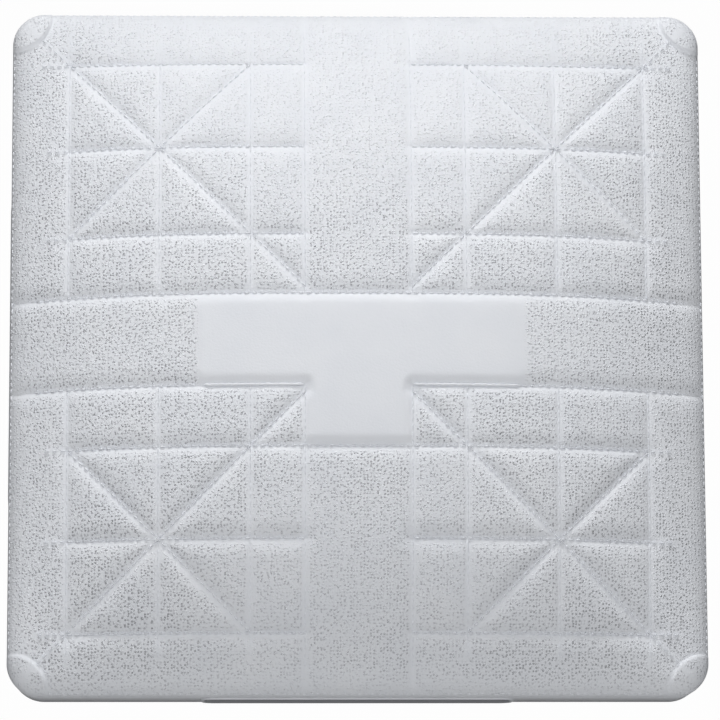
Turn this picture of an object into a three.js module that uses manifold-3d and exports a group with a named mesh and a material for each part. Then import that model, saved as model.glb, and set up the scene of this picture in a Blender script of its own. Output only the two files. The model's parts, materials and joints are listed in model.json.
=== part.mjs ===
// A baseball base: a quilted rubber cover over a foam pad and a steel pan, on an adjustable stanchion.
// Millimetres, +Z up. The origin is on the stanchion's axis, level with the underside of the cover.
import * as THREE from 'three';
import { mergeVertices } from 'three/addons/utils/BufferGeometryUtils.js';
import Module from 'manifold-3d';

const wasm = await Module();
wasm.setup();

// Clearances
const FIT_GAP = 0.3;
const HOLE_GAP = 0.4;

// Cover, outside
const BASE_WIDTH = 381;
const CROWN_HEIGHT = 76.2;
const RIM_HEIGHT = 43;
const CROWN_REACH = 186;
const CROWN_POWER = 3.11;
const WALL_TOP_HEIGHT = 35;
const WALL_TUCK = 1.3;
const SHOULDER_WIDTH = 14;
const CORNER_RADIUS = 18;
const TOP_CORNER_RADIUS = 6;
const FOOT_CHAMFER = 3;

// Quilting: places of the stitched lines, from the middle outwards, and the puffs between them
const CROSS_BAND_HALF_X = 29;
const CROSS_BAND_HALF_Y = 25.3;
const INNER_LINE = 58.6;
const OUTER_LINE_MARGIN = 18.1;
const PUFF_HEIGHT = 2.3;
const PUFF_REACH = 10;
const PUFF_POWER = 2;

// Raised round cap over each corner
const CAP_RADIUS = 16;
const CAP_INSET = 3.5;
const CAP_RAISE = 1;

// Side recess and its raised bead, one on each wall
const RECESS_LENGTH = 166;
const RECESS_HEIGHT = 20;
const RECESS_DROP = 8.5;
const RECESS_DEPTH = 3.5;
const RECESS_RADIUS = 5;
const BEAD_WIDTH = 2.4;
const BEAD_PROUD = 0.5;

// Cover, inside
const COVER_WALL = 11.2;
const COVER_TOP = 8;
const LIP_BOTTOM = 8;
const LIP_THICKNESS = 4;
const LIP_REACH = 27.5;
const MOUTH_RADIUS = 10;
const CAVITY_SHOULDER_DROP = 8;
const CAVITY_STEPS = 5;

// Steel pan
const PAN_SIDE_GAP = 7.5;
const FOAM_EDGE = 1;
const PAN_SHEET = 2.5;
const PAN_CORNER_RADIUS = 14;

// Stiffening rails under the pan
const RAIL_WIDTH = 30;
const RAIL_DEPTH = 13;
const RAIL_SHEET = 2;
const RAIL_END_GAP = 3;

// Stanchion
const LEG_WIDTH = 25.4;
const LEG_WALL = 3.2;
const LEG_TRAVEL = 12.7;
const LEG_TOP_CLEARANCE = 0.6;
const LEG_BELOW_GROUND = 127;
const LEG_SLIDE_GAP = 0.4;
const SOCKET_WALL = 4;
const SOCKET_BELOW_GROUND = 20;
const PLATE_WIDTH = 110;
const PLATE_THICKNESS = 6;
const PLATE_CORNER_RADIUS = 8;
const PLATE_BOLT_INSET = 15;

// Fasteners: across-flats widths, diameters and heights
const BOLT_DIAMETER = 10;
const BOLT_HEAD_FLATS = 16;
const BOLT_HEAD_HEIGHT = 6.4;
const BOLT_NUT_HEIGHT = 8;
const BOLT_TAIL = 2;
const WASHER_DIAMETER = 20;
const WASHER_THICKNESS = 2;
const LOCK_DIAMETER = 8;
const LOCK_HEIGHT = 10;
const LOCK_BOSS_FLATS = 15;
const LOCK_BOSS_LENGTH = 10;
const JAM_NUT_FLATS = 13;
const JAM_NUT_HEIGHT = 5;
const LOCK_HEAD_GAP = 3;
const LOCK_HEAD_WIDTH = 11;
const LOCK_HEAD_LENGTH = 8;
const STRIP_WIDTH = 16;
const STRIP_THICKNESS = 3;
const STRIP_END_REACH = 6;
const STRIP_CORNER_GAP = 1.5;
const STRIP_SCREW_END = 24;
const SCREW_DIAMETER = 6;
const SCREW_HEAD_DIAMETER = 12;
const SCREW_HEAD_HEIGHT = 3;
const SCREW_HEAD_FLAT = 7;
const SCREW_HEAD_EDGE = 1;
const SCREW_NUT_FLATS = 10;
const SCREW_NUT_HEIGHT = 4.5;
const SCREW_TAIL = 1.2;

// Foam pad
const RELIEF_MARGIN = 4;

// Facets
const BOLT_SIDES = 10;
const CORNER_STEPS = 4;
const SHOULDER_STEPS = 4;
const CAP_SIDES = 20;
const CREASE_STEP = 4.5;
const FIRST_CELL_SHARES = [0.4, 0.8, 1];
const CELL_SHARES = [0.09, 0.24, 0.5, 0.76, 0.91, 1];
const MARGIN_SHARES = [0.25, 0.5, 1];

// Sizes that follow from the ones above
const HALF_WIDTH = BASE_WIDTH / 2 - BEAD_PROUD;
const FOOT_HALF_WIDTH = HALF_WIDTH - WALL_TUCK;
const TOP_HALF_WIDTH = HALF_WIDTH - SHOULDER_WIDTH;
const LINE_CROWN = CROWN_HEIGHT - PUFF_HEIGHT;
const OUTER_LINE = TOP_HALF_WIDTH - OUTER_LINE_MARGIN;
const MIDDLE_LINE = (INNER_LINE + OUTER_LINE) / 2;
const DIAGONAL_START = Math.max(CROSS_BAND_HALF_X, CROSS_BAND_HALF_Y);
const RECESS_TOP = WALL_TOP_HEIGHT - RECESS_DROP;
const LIP_TOP = LIP_BOTTOM + LIP_THICKNESS;
const CAVITY_HALF_WIDTH = FOOT_HALF_WIDTH - COVER_WALL;
const CAVITY_TOP_HALF_WIDTH = CAVITY_HALF_WIDTH - SHOULDER_WIDTH;
const CAVITY_CORNER_RADIUS = Math.max(CORNER_RADIUS - COVER_WALL, FOOT_CHAMFER);
const CAVITY_SHOULDER_HEIGHT = WALL_TOP_HEIGHT - CAVITY_SHOULDER_DROP;
const MOUTH_HALF = CAVITY_HALF_WIDTH - LIP_REACH;
const FLANGE_BOTTOM = LIP_TOP + FIT_GAP;
const FLANGE_TOP = FLANGE_BOTTOM + PAN_SHEET;
const PAN_HALF = CAVITY_HALF_WIDTH - PAN_SIDE_GAP;
const PAN_WIDTH = 2 * PAN_HALF;
const PAN_TOP_HEIGHT = RIM_HEIGHT - COVER_TOP - FOAM_EDGE;
const PAN_CEILING = PAN_TOP_HEIGHT - PAN_SHEET;
const STRIP_OFFSET = (MOUTH_HALF + PAN_HALF - PAN_SHEET) / 2;
const STRIP_LONG_HALF = STRIP_OFFSET + STRIP_END_REACH;
const STRIP_SHORT_HALF = STRIP_OFFSET - STRIP_WIDTH / 2 - STRIP_CORNER_GAP;
const STRIP_SCREW_SPACING = STRIP_SHORT_HALF - STRIP_SCREW_END;
const RAIL_OFFSET = (PLATE_WIDTH / 2 + MOUTH_HALF) / 2;
const STRIP_TOP = LIP_BOTTOM - FIT_GAP;
const STRIP_BOTTOM = STRIP_TOP - STRIP_THICKNESS;
const SOCKET_BORE = LEG_WIDTH + 2 * LEG_SLIDE_GAP;
const SOCKET_WIDTH = SOCKET_BORE + 2 * SOCKET_WALL;
const PLATE_BOTTOM = PAN_TOP_HEIGHT + FIT_GAP;
const PLATE_TOP = PLATE_BOTTOM + PLATE_THICKNESS;
const LEG_TOP = PLATE_TOP - LEG_TRAVEL - LEG_TOP_CLEARANCE;

const RUBBER_WHITE = new THREE.MeshStandardMaterial({ color: 0xe4e6e9, roughness: 0.6, metalness: 0 });
const FOAM_GREY = new THREE.MeshStandardMaterial({ color: 0x4a4b4d, roughness: 0.95, metalness: 0 });
const GALVANISED = new THREE.MeshStandardMaterial({ color: 0xb4b8ba, roughness: 0.5, metalness: 0.9 });
const ZINC = new THREE.MeshStandardMaterial({ color: 0xc4c6c4, roughness: 0.35, metalness: 1 });

// A mesh geometry as a solid that can be joined and cut
function solid(geometry) {
  const bare = geometry.clone();
  bare.deleteAttribute('normal');
  bare.deleteAttribute('uv');
  const merged = mergeVertices(bare, 1e-4);
  return new wasm.Manifold(new wasm.Mesh({
    numProp: 3,
    vertProperties: new Float32Array(merged.attributes.position.array),
    triVerts: new Uint32Array(merged.index.array),
  }));
}

// A solid back as a mesh geometry
function geometryOf(body) {
  const mesh = body.getMesh();
  const geometry = new THREE.BufferGeometry();
  geometry.setAttribute('position', new THREE.BufferAttribute(new Float32Array(mesh.vertProperties), 3));
  geometry.setIndex(new THREE.BufferAttribute(new Uint32Array(mesh.triVerts), 1));
  geometry.computeVertexNormals();
  return geometry;
}

function part(name, geometry, material) {
  const mesh = new THREE.Mesh(geometry, material);
  mesh.name = name;
  return mesh;
}

// Flat outlines
function roundedRectangle(width, height, radius) {
  const x = width / 2;
  const y = height / 2;
  const shape = new THREE.Shape();
  shape.absarc(x - radius, y - radius, radius, 0, Math.PI / 2);
  shape.absarc(radius - x, y - radius, radius, Math.PI / 2, Math.PI);
  shape.absarc(radius - x, radius - y, radius, Math.PI, 1.5 * Math.PI);
  shape.absarc(x - radius, radius - y, radius, 1.5 * Math.PI, 2 * Math.PI);
  return shape;
}

function rectangle(width, height) {
  const x = width / 2;
  const y = height / 2;
  return new THREE.Shape([[-x, -y], [x, -y], [x, y], [-x, y]].map(([u, v]) => new THREE.Vector2(u, v)));
}

function polygon(sides, acrossFlats) {
  const radius = acrossFlats / 2 / Math.cos(Math.PI / sides);
  const points = [];
  for (let i = 0; i < sides; i += 1) {
    const angle = (2 * Math.PI * i) / sides;
    points.push(new THREE.Vector2(radius * Math.cos(angle), radius * Math.sin(angle)));
  }
  return points;
}

function prism(shape, bottom, top) {
  const geometry = new THREE.ExtrudeGeometry(shape, {
    depth: top - bottom,
    bevelEnabled: false,
    curveSegments: CORNER_STEPS,
  });
  return geometry.translate(0, 0, bottom);
}

function roundPrism(diameter, x, y, bottom, top) {
  return prism(new THREE.Shape(polygon(BOLT_SIDES, diameter)), bottom, top).translate(x, y, 0);
}

function drill(body, diameter, places, bottom, top) {
  let cut = body;
  for (const [x, y] of places) {
    cut = cut.subtract(solid(roundPrism(diameter, x, y, bottom, top)));
  }
  return cut;
}

// Share of the crown's height that is left along one axis: 1 in the middle, 0 at the rim
function crownShare(v) {
  return 1 - Math.min(1, Math.abs(v) / CROWN_REACH) ** CROWN_POWER;
}

// The crowned top at the level of the stitched lines: a pillow that falls away to the rim on all sides
function crown(x, y) {
  return RIM_HEIGHT + (LINE_CROWN - RIM_HEIGHT) * crownShare(x) * crownShare(y);
}

// Steepness of the crown where it meets a shoulder, across that shoulder
function crownSlope(x, y) {
  const across = Math.max(Math.abs(x), Math.abs(y));
  const along = Math.min(Math.abs(x), Math.abs(y));
  const steepness = (CROWN_POWER / CROWN_REACH) * (across / CROWN_REACH) ** (CROWN_POWER - 1);
  return (LINE_CROWN - RIM_HEIGHT) * steepness * crownShare(along);
}

function flatLine([x0, y0], [x1, y1]) {
  return new THREE.Line3(new THREE.Vector3(x0, y0, 0), new THREE.Vector3(x1, y1, 0));
}

// The stitched lines in plan: the upper and lower edges of the label panel and the lines of each quarter
function stitchedLines() {
  const [bandX, bandY] = [CROSS_BAND_HALF_X, CROSS_BAND_HALF_Y];
  const lines = [
    flatLine([-bandX, bandY], [bandX, bandY]),
    flatLine([-bandX, -INNER_LINE], [bandX, -INNER_LINE]),
  ];
  const quarter = [
    [bandX, bandY, bandX, TOP_HALF_WIDTH],
    [bandX, bandY, TOP_HALF_WIDTH, bandY],
    [DIAGONAL_START, DIAGONAL_START, OUTER_LINE, OUTER_LINE],
    [INNER_LINE, OUTER_LINE, OUTER_LINE, INNER_LINE],
  ];
  for (const place of [INNER_LINE, MIDDLE_LINE, OUTER_LINE]) {
    quarter.push([place, bandY, place, OUTER_LINE], [bandX, place, OUTER_LINE, place]);
  }
  for (const [sideX, sideY] of [[-1, -1], [1, -1], [1, 1], [-1, 1]]) {
    for (const [x0, y0, x1, y1] of quarter) {
      lines.push(flatLine([sideX * x0, sideY * y0], [sideX * x1, sideY * y1]));
    }
  }
  return lines;
}

const STITCHED_LINES = stitchedLines();

// Outer top surface: the crown, puffed up between the stitched lines
function quiltedTop(x, y) {
  const point = new THREE.Vector3(x, y, 0);
  const nearest = new THREE.Vector3();
  let share = 1;
  for (const line of STITCHED_LINES) {
    const away = line.closestPointToPoint(point, true, nearest).distanceTo(point);
    share *= 1 - (1 - Math.min(1, away / PUFF_REACH)) ** PUFF_POWER;
  }
  return crown(x, y) + PUFF_HEIGHT * share;
}

// A point on a rounded square. Along a side it keeps its place; past the last straight place it runs
// round the corner, and the end of the side is the corner's middle.
function squarePoint(along, end, straight, half, radius) {
  const size = Math.abs(along);
  const sign = Math.sign(along);
  if (size <= straight) {
    return [along, half];
  }
  const flat = half - radius - straight;
  const run = ((size - straight) / (end - straight)) * (flat + (radius * Math.PI) / 4);
  if (run <= flat) {
    return [sign * (straight + run), half];
  }
  const angle = (run - flat) / radius;
  return [sign * (half - radius + radius * Math.sin(angle)), half - radius + radius * Math.cos(angle)];
}

// A closed pillow-topped block. lines holds the grid places along X and Y, of equal count, top gives
// the height of the top grid, and loops lists the rings below it as [half, radius, height].
function pillowBlock({ linesX, linesY, straight, topRadius, top, loops }) {
  const count = linesX.length;
  const end = linesX[count - 1];
  const positions = [];
  const triangles = [];
  const index = (i, j) => j * count + i;

  // The edge of the grid as one ring, anticlockwise from the front left corner
  const ring = [];
  for (let i = 0; i < count - 1; i += 1) ring.push({ side: 0, i, j: 0 });
  for (let j = 0; j < count - 1; j += 1) ring.push({ side: 1, i: count - 1, j });
  for (let i = count - 1; i > 0; i -= 1) ring.push({ side: 2, i, j: count - 1 });
  for (let j = count - 1; j > 0; j -= 1) ring.push({ side: 3, i: 0, j });

  const place = ({ side, i, j }, half, radius) => {
    const along = side % 2 === 0 ? linesX[i] : linesY[j];
    const [a, b] = squarePoint(along, end, straight, half, radius);
    if (side === 0) return [a, -b];
    if (side === 1) return [b, a];
    if (side === 2) return [a, b];
    return [-b, a];
  };

  for (let j = 0; j < count; j += 1) {
    for (let i = 0; i < count; i += 1) {
      positions.push([linesX[i], linesY[j], top(linesX[i], linesY[j])]);
    }
  }
  for (const spot of ring) {
    const [x, y] = place(spot, end, topRadius);
    positions[index(spot.i, spot.j)] = [x, y, top(x, y)];
  }

  // Each square of the grid is split along the diagonal that the quilting follows there
  for (let j = 0; j < count - 1; j += 1) {
    for (let i = 0; i < count - 1; i += 1) {
      const [a, b, c, d] = [index(i, j), index(i + 1, j), index(i + 1, j + 1), index(i, j + 1)];
      if (splitsForward(linesX[i], linesX[i + 1], linesY[j], linesY[j + 1])) {
        triangles.push([a, b, c], [a, c, d]);
      } else {
        triangles.push([a, b, d], [b, c, d]);
      }
    }
  }

  let upper = ring.map(({ i, j }) => index(i, j));
  const edge = ring.map(({ i, j }) => positions[index(i, j)]);
  for (const loop of loops) {
    const lower = [];
    ring.forEach((spot, k) => {
      const { half, radius, height } = loop(edge[k]);
      const [x, y] = place(spot, half, radius);
      lower.push(positions.length);
      positions.push([x, y, height]);
    });
    for (let k = 0; k < ring.length; k += 1) {
      const next = (k + 1) % ring.length;
      triangles.push([upper[k], lower[k], lower[next]], [upper[k], lower[next], upper[next]]);
    }
    upper = lower;
  }
  const floor = positions.length;
  positions.push([0, 0, positions[upper[0]][2]]);
  for (let k = 0; k < ring.length; k += 1) {
    triangles.push([upper[(k + 1) % ring.length], upper[k], floor]);
  }

  const geometry = new THREE.BufferGeometry();
  geometry.setAttribute('position', new THREE.Float32BufferAttribute(positions.flat(), 3));
  geometry.setIndex(triangles.flat());
  return geometry;
}

// True where a square's split runs from its lower left to its upper right
function splitsForward(x0, x1, y0, y1) {
  const x = (x0 + x1) / 2;
  const y = (y0 + y1) / 2;
  const sameSign = x * y > 0;
  const outerBlock = Math.abs(x) > INNER_LINE && Math.abs(y) > INNER_LINE;
  const crossCell = outerBlock && (Math.abs(x) - MIDDLE_LINE) * (Math.abs(y) - MIDDLE_LINE) < 0;
  return crossCell ? !sameSign : sameSign;
}

// Grid places of the quilted top, close together at the creases, from the middle to the start of the
// shoulder, then mirrored. Past the band they are the same along X and Y, for the diagonals.
function quiltGrid(bandHalf) {
  const between = (from, to, shares) => shares.map((share) => from + (to - from) * share);
  const start = DIAGONAL_START + 2 * CREASE_STEP;
  const half = [
    bandHalf / 2,
    bandHalf - CREASE_STEP,
    bandHalf,
    (bandHalf + start) / 2,
    start,
    ...between(start, INNER_LINE, FIRST_CELL_SHARES),
    ...between(INNER_LINE, MIDDLE_LINE, CELL_SHARES),
    ...between(MIDDLE_LINE, OUTER_LINE, CELL_SHARES),
    ...between(OUTER_LINE, TOP_HALF_WIDTH, MARGIN_SHARES),
  ];
  return [...half.map((v) => -v).reverse(), 0, ...half];
}

function evenGrid(half, straight) {
  const lines = [];
  for (let step = 1; step <= CAVITY_STEPS; step += 1) {
    lines.push((straight * step) / CAVITY_STEPS);
  }
  lines.push((straight + half) / 2, half);
  return [...lines.map((v) => -v).reverse(), 0, ...lines];
}

// Rings of a shoulder that leaves the top at the crown's slope and meets the wall upright
function shoulderLoops(topHalf, wallHalf, topRadius, wallRadius, wallTop) {
  const loops = [];
  for (let step = 1; step <= SHOULDER_STEPS; step += 1) {
    const t = step / SHOULDER_STEPS;
    const bend = 2 * t * (1 - t);
    loops.push(([x, y, start]) => {
      const knee = Math.max(wallTop, start - crownSlope(x, y) * (wallHalf - topHalf));
      return {
        half: topHalf * (1 - t) ** 2 + wallHalf * (bend + t * t),
        radius: topRadius + (wallRadius - topRadius) * (bend + t * t),
        height: start * (1 - t) ** 2 + knee * bend + wallTop * t * t,
      };
    });
  }
  return loops;
}

function coverOutside() {
  return pillowBlock({
    linesX: quiltGrid(CROSS_BAND_HALF_X),
    linesY: quiltGrid(CROSS_BAND_HALF_Y),
    straight: OUTER_LINE,
    topRadius: TOP_CORNER_RADIUS,
    top: quiltedTop,
    loops: [
      ...shoulderLoops(TOP_HALF_WIDTH, HALF_WIDTH, TOP_CORNER_RADIUS, CORNER_RADIUS, WALL_TOP_HEIGHT),
      () => ({ half: FOOT_HALF_WIDTH, radius: CORNER_RADIUS, height: FOOT_CHAMFER }),
      () => ({ half: FOOT_HALF_WIDTH - FOOT_CHAMFER, radius: CORNER_RADIUS - FOOT_CHAMFER, height: 0 }),
    ],
  });
}

// The four corner caps: the skin of a block a little larger than the cover, kept only at its corners
function cornerCaps() {
  const half = BASE_WIDTH / 2;
  const topHalf = half - SHOULDER_WIDTH;
  const straight = topHalf - CORNER_RADIUS;
  const lines = evenGrid(topHalf, straight);
  const skin = solid(pillowBlock({
    linesX: lines,
    linesY: lines,
    straight,
    topRadius: TOP_CORNER_RADIUS,
    top: (x, y) => quiltedTop(x, y) + CAP_RAISE,
    loops: shoulderLoops(topHalf, half, TOP_CORNER_RADIUS, CORNER_RADIUS, WALL_TOP_HEIGHT),
  }));
  const centre = HALF_WIDTH - CAP_INSET;
  const places = [[-centre, -centre], [centre, -centre], [centre, centre], [-centre, centre]];
  return places.map(([x, y]) => {
    const post = new THREE.Shape(polygon(CAP_SIDES, 2 * CAP_RADIUS));
    return skin.intersect(solid(prism(post, WALL_TOP_HEIGHT, CROWN_HEIGHT).translate(x, y, 0)));
  });
}

// The space inside the cover, or, with a gap, what fills it
function coverInside(gap) {
  const topHalf = CAVITY_TOP_HALF_WIDTH - gap;
  const half = CAVITY_HALF_WIDTH - gap;
  const straight = topHalf - CAVITY_CORNER_RADIUS - TOP_CORNER_RADIUS;
  const lines = evenGrid(topHalf, straight);
  return pillowBlock({
    linesX: lines,
    linesY: lines,
    straight,
    topRadius: TOP_CORNER_RADIUS,
    top: (x, y) => crown(x, y) - COVER_TOP - gap,
    loops: [
      ...shoulderLoops(topHalf, half, TOP_CORNER_RADIUS, CAVITY_CORNER_RADIUS, CAVITY_SHOULDER_HEIGHT - gap),
      () => ({ half, radius: CAVITY_CORNER_RADIUS, height: LIP_TOP }),
    ],
  });
}

// Places of the screws that hold the four clamp strips
function stripScrewPlaces() {
  const places = [];
  for (const along of [-STRIP_SCREW_SPACING, 0, STRIP_SCREW_SPACING]) {
    places.push([along, -STRIP_OFFSET], [along, STRIP_OFFSET]);
    places.push([-STRIP_OFFSET, along], [STRIP_OFFSET, along]);
  }
  return places;
}

function plateBoltPlaces() {
  const p = PLATE_WIDTH / 2 - PLATE_BOLT_INSET;
  return [[-p, -p], [p, -p], [p, p], [-p, p]];
}

// One side recess, or its bead, standing on the front wall and facing the front
function frontPanel(margin, from, to) {
  const length = RECESS_LENGTH + 2 * margin;
  const height = RECESS_HEIGHT + 2 * margin;
  const geometry = prism(roundedRectangle(length, height, RECESS_RADIUS + margin), from, to);
  geometry.rotateX(Math.PI / 2);
  return geometry.translate(0, 0, RECESS_TOP - RECESS_HEIGHT / 2);
}

function cover() {
  let body = solid(coverOutside());
  for (const cap of cornerCaps()) {
    body = body.add(cap);
  }
  const recessFloor = FOOT_HALF_WIDTH - RECESS_DEPTH;
  const beadFace = HALF_WIDTH + BEAD_PROUD;
  for (let side = 0; side < 4; side += 1) {
    const turn = (side * Math.PI) / 2;
    const bead = frontPanel(BEAD_WIDTH, recessFloor, beadFace).rotateZ(turn);
    const recess = frontPanel(0, recessFloor, beadFace + BEAD_PROUD).rotateZ(turn);
    body = body.add(solid(bead)).subtract(solid(recess));
  }
  const mouth = roundedRectangle(2 * MOUTH_HALF, 2 * MOUTH_HALF, MOUTH_RADIUS);
  const hollow = roundedRectangle(2 * CAVITY_HALF_WIDTH, 2 * CAVITY_HALF_WIDTH, CAVITY_CORNER_RADIUS);
  body = body.subtract(solid(coverInside(0)));
  body = body.subtract(solid(prism(mouth, LIP_BOTTOM - LIP_THICKNESS, LIP_TOP + LIP_THICKNESS)));
  body = body.subtract(solid(prism(hollow, -LIP_BOTTOM, LIP_BOTTOM)));
  body = drill(body, SCREW_DIAMETER + 2 * HOLE_GAP, stripScrewPlaces(), 0, LIP_TOP + LIP_THICKNESS);
  return part('cover', geometryOf(body), RUBBER_WHITE);
}

function foamPad() {
  const seat = PAN_TOP_HEIGHT + FIT_GAP;
  const below = prism(rectangle(BASE_WIDTH, BASE_WIDTH), -LIP_BOTTOM, seat);
  const reliefWidth = PLATE_WIDTH + 2 * RELIEF_MARGIN;
  const reliefTop = PLATE_TOP + FIT_GAP + BOLT_HEAD_HEIGHT + RELIEF_MARGIN;
  const relief = prism(rectangle(reliefWidth, reliefWidth), 0, reliefTop);
  const body = solid(coverInside(FIT_GAP)).subtract(solid(below)).subtract(solid(relief));
  return part('foam_pad', geometryOf(body), FOAM_GREY);
}

function innerPan() {
  const outer = roundedRectangle(PAN_WIDTH, PAN_WIDTH, PAN_CORNER_RADIUS);
  const inside = PAN_WIDTH - 2 * PAN_SHEET;
  const inner = roundedRectangle(inside, inside, PAN_CORNER_RADIUS - PAN_SHEET);
  const mouth = roundedRectangle(2 * MOUTH_HALF, 2 * MOUTH_HALF, MOUTH_RADIUS);
  const socketHole = rectangle(SOCKET_WIDTH + 2 * HOLE_GAP, SOCKET_WIDTH + 2 * HOLE_GAP);
  let body = solid(prism(outer, FLANGE_BOTTOM, PAN_TOP_HEIGHT));
  body = body.subtract(solid(prism(inner, FLANGE_TOP, PAN_CEILING)));
  body = body.subtract(solid(prism(mouth, 0, PAN_CEILING)));
  body = body.subtract(solid(prism(socketHole, 0, PAN_TOP_HEIGHT + PAN_SHEET)));
  body = drill(body, SCREW_DIAMETER + 2 * HOLE_GAP, stripScrewPlaces(), 0, PAN_CEILING - PAN_SHEET);
  body = drill(body, BOLT_DIAMETER + 2 * HOLE_GAP, plateBoltPlaces(), FLANGE_TOP, PAN_TOP_HEIGHT + PAN_SHEET);
  return part('inner_pan', geometryOf(body), GALVANISED);
}

// A channel open downwards, with its web under the top of the pan
function panRail(name, y) {
  const length = 2 * (MOUTH_HALF - RAIL_END_GAP);
  const top = PAN_CEILING - FIT_GAP;
  const w = RAIL_WIDTH / 2;
  const t = RAIL_SHEET;
  const d = RAIL_DEPTH;
  const outline = [[-w, -d], [t - w, -d], [t - w, -t], [w - t, -t], [w - t, -d], [w, -d], [w, 0], [-w, 0]];
  const shape = new THREE.Shape(outline.map(([u, v]) => new THREE.Vector2(u, v)));
  const geometry = prism(shape, -length / 2, length / 2);
  geometry.rotateX(Math.PI / 2);
  geometry.rotateZ(Math.PI / 2);
  const mesh = part(name, geometry, GALVANISED);
  mesh.position.set(0, y, top);
  return mesh;
}

function stanchionPlate() {
  const shape = roundedRectangle(PLATE_WIDTH, PLATE_WIDTH, PLATE_CORNER_RADIUS);
  const hole = SOCKET_WIDTH + 2 * FIT_GAP;
  let body = solid(prism(shape, PLATE_BOTTOM, PLATE_TOP));
  body = body.subtract(solid(prism(rectangle(hole, hole), 0, PLATE_TOP + PLATE_THICKNESS)));
  body = drill(body, BOLT_DIAMETER + 2 * HOLE_GAP, plateBoltPlaces(), 0, PLATE_TOP + PLATE_THICKNESS);
  return part('stanchion_plate', geometryOf(body), ZINC);
}

// The two locking screws: one works on the right face of the leg, the other on its front face
const LOCK_TURNS = [0, -Math.PI / 2];

// Lays a piece that stands along +Z out along +X at the height of the lock, then turns it to its face
function lockPlaced(geometry, turn) {
  geometry.rotateY(Math.PI / 2);
  geometry.rotateZ(turn);
  return geometry.translate(0, 0, LOCK_HEIGHT);
}

function stanchionSocket() {
  let body = solid(prism(rectangle(SOCKET_WIDTH, SOCKET_WIDTH), -SOCKET_BELOW_GROUND, PLATE_TOP));
  const bore = prism(rectangle(SOCKET_BORE, SOCKET_BORE), -2 * SOCKET_BELOW_GROUND, 2 * PLATE_TOP);
  body = body.subtract(solid(bore));
  for (const turn of LOCK_TURNS) {
    const hole = roundPrism(LOCK_DIAMETER + 2 * HOLE_GAP, 0, 0, 0, SOCKET_WIDTH);
    body = body.subtract(solid(lockPlaced(hole, turn)));
  }
  return part('stanchion_socket', geometryOf(body), ZINC);
}

function stanchionLeg() {
  const shape = rectangle(LEG_WIDTH, LEG_WIDTH);
  const bore = LEG_WIDTH - 2 * LEG_WALL;
  shape.holes.push(rectangle(bore, bore));
  return part('stanchion_leg', prism(shape, -LEG_BELOW_GROUND, LEG_TOP), ZINC);
}

// A hexagon nut or boss with a round bore, standing on z = bottom
function hexNut(acrossFlats, boreDiameter, bottom, top) {
  const shape = new THREE.Shape(polygon(6, acrossFlats));
  shape.holes.push(new THREE.Path(polygon(BOLT_SIDES, boreDiameter)));
  return prism(shape, bottom, top);
}

function plateFasteners() {
  const meshes = [];
  plateBoltPlaces().forEach(([x, y], k) => {
    const headBottom = PLATE_TOP + FIT_GAP;
    const washerTop = PAN_CEILING - FIT_GAP;
    const nutTop = washerTop - WASHER_THICKNESS - FIT_GAP;
    const tail = nutTop - BOLT_NUT_HEIGHT - BOLT_TAIL;
    const hexagon = new THREE.Shape(polygon(6, BOLT_HEAD_FLATS));
    const head = prism(hexagon, headBottom, headBottom + BOLT_HEAD_HEIGHT);
    const shank = roundPrism(BOLT_DIAMETER, 0, 0, tail, headBottom + FIT_GAP);
    const ring = new THREE.Shape(polygon(BOLT_SIDES, WASHER_DIAMETER));
    ring.holes.push(new THREE.Path(polygon(BOLT_SIDES, BOLT_DIAMETER + 2 * HOLE_GAP)));
    const bore = BOLT_DIAMETER + 2 * FIT_GAP;
    const pieces = [
      part(`plate_bolt_${k + 1}`, geometryOf(solid(head).add(solid(shank))), ZINC),
      part(`plate_washer_${k + 1}`, prism(ring, washerTop - WASHER_THICKNESS, washerTop), ZINC),
      part(`plate_nut_${k + 1}`, hexNut(BOLT_HEAD_FLATS, bore, nutTop - BOLT_NUT_HEIGHT, nutTop), ZINC),
    ];
    for (const piece of pieces) {
      piece.position.set(x, y, 0);
      meshes.push(piece);
    }
  });
  return meshes;
}

function lockPieces() {
  const meshes = [];
  LOCK_TURNS.forEach((turn, k) => {
    const bossStart = SOCKET_WIDTH / 2 + FIT_GAP;
    const bossEnd = bossStart + LOCK_BOSS_LENGTH;
    const nutStart = bossEnd + FIT_GAP;
    const headStart = nutStart + JAM_NUT_HEIGHT + LOCK_HEAD_GAP;
    const headEnd = headStart + LOCK_HEAD_LENGTH;
    const bore = LOCK_DIAMETER + 2 * FIT_GAP;
    const shank = roundPrism(LOCK_DIAMETER, 0, 0, LEG_WIDTH / 2 + FIT_GAP, headStart + FIT_GAP);
    const head = prism(rectangle(LOCK_HEAD_WIDTH, LOCK_HEAD_WIDTH), headStart, headEnd);
    const screw = geometryOf(solid(shank).add(solid(head)));
    const boss = hexNut(LOCK_BOSS_FLATS, bore, bossStart, bossEnd);
    const nut = hexNut(JAM_NUT_FLATS, bore, nutStart, nutStart + JAM_NUT_HEIGHT);
    meshes.push(part(`lock_boss_${k + 1}`, lockPlaced(boss, turn), ZINC));
    meshes.push(part(`jam_nut_${k + 1}`, lockPlaced(nut, turn), ZINC));
    meshes.push(part(`lock_screw_${k + 1}`, lockPlaced(screw, turn), ZINC));
  });
  return meshes;
}

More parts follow.
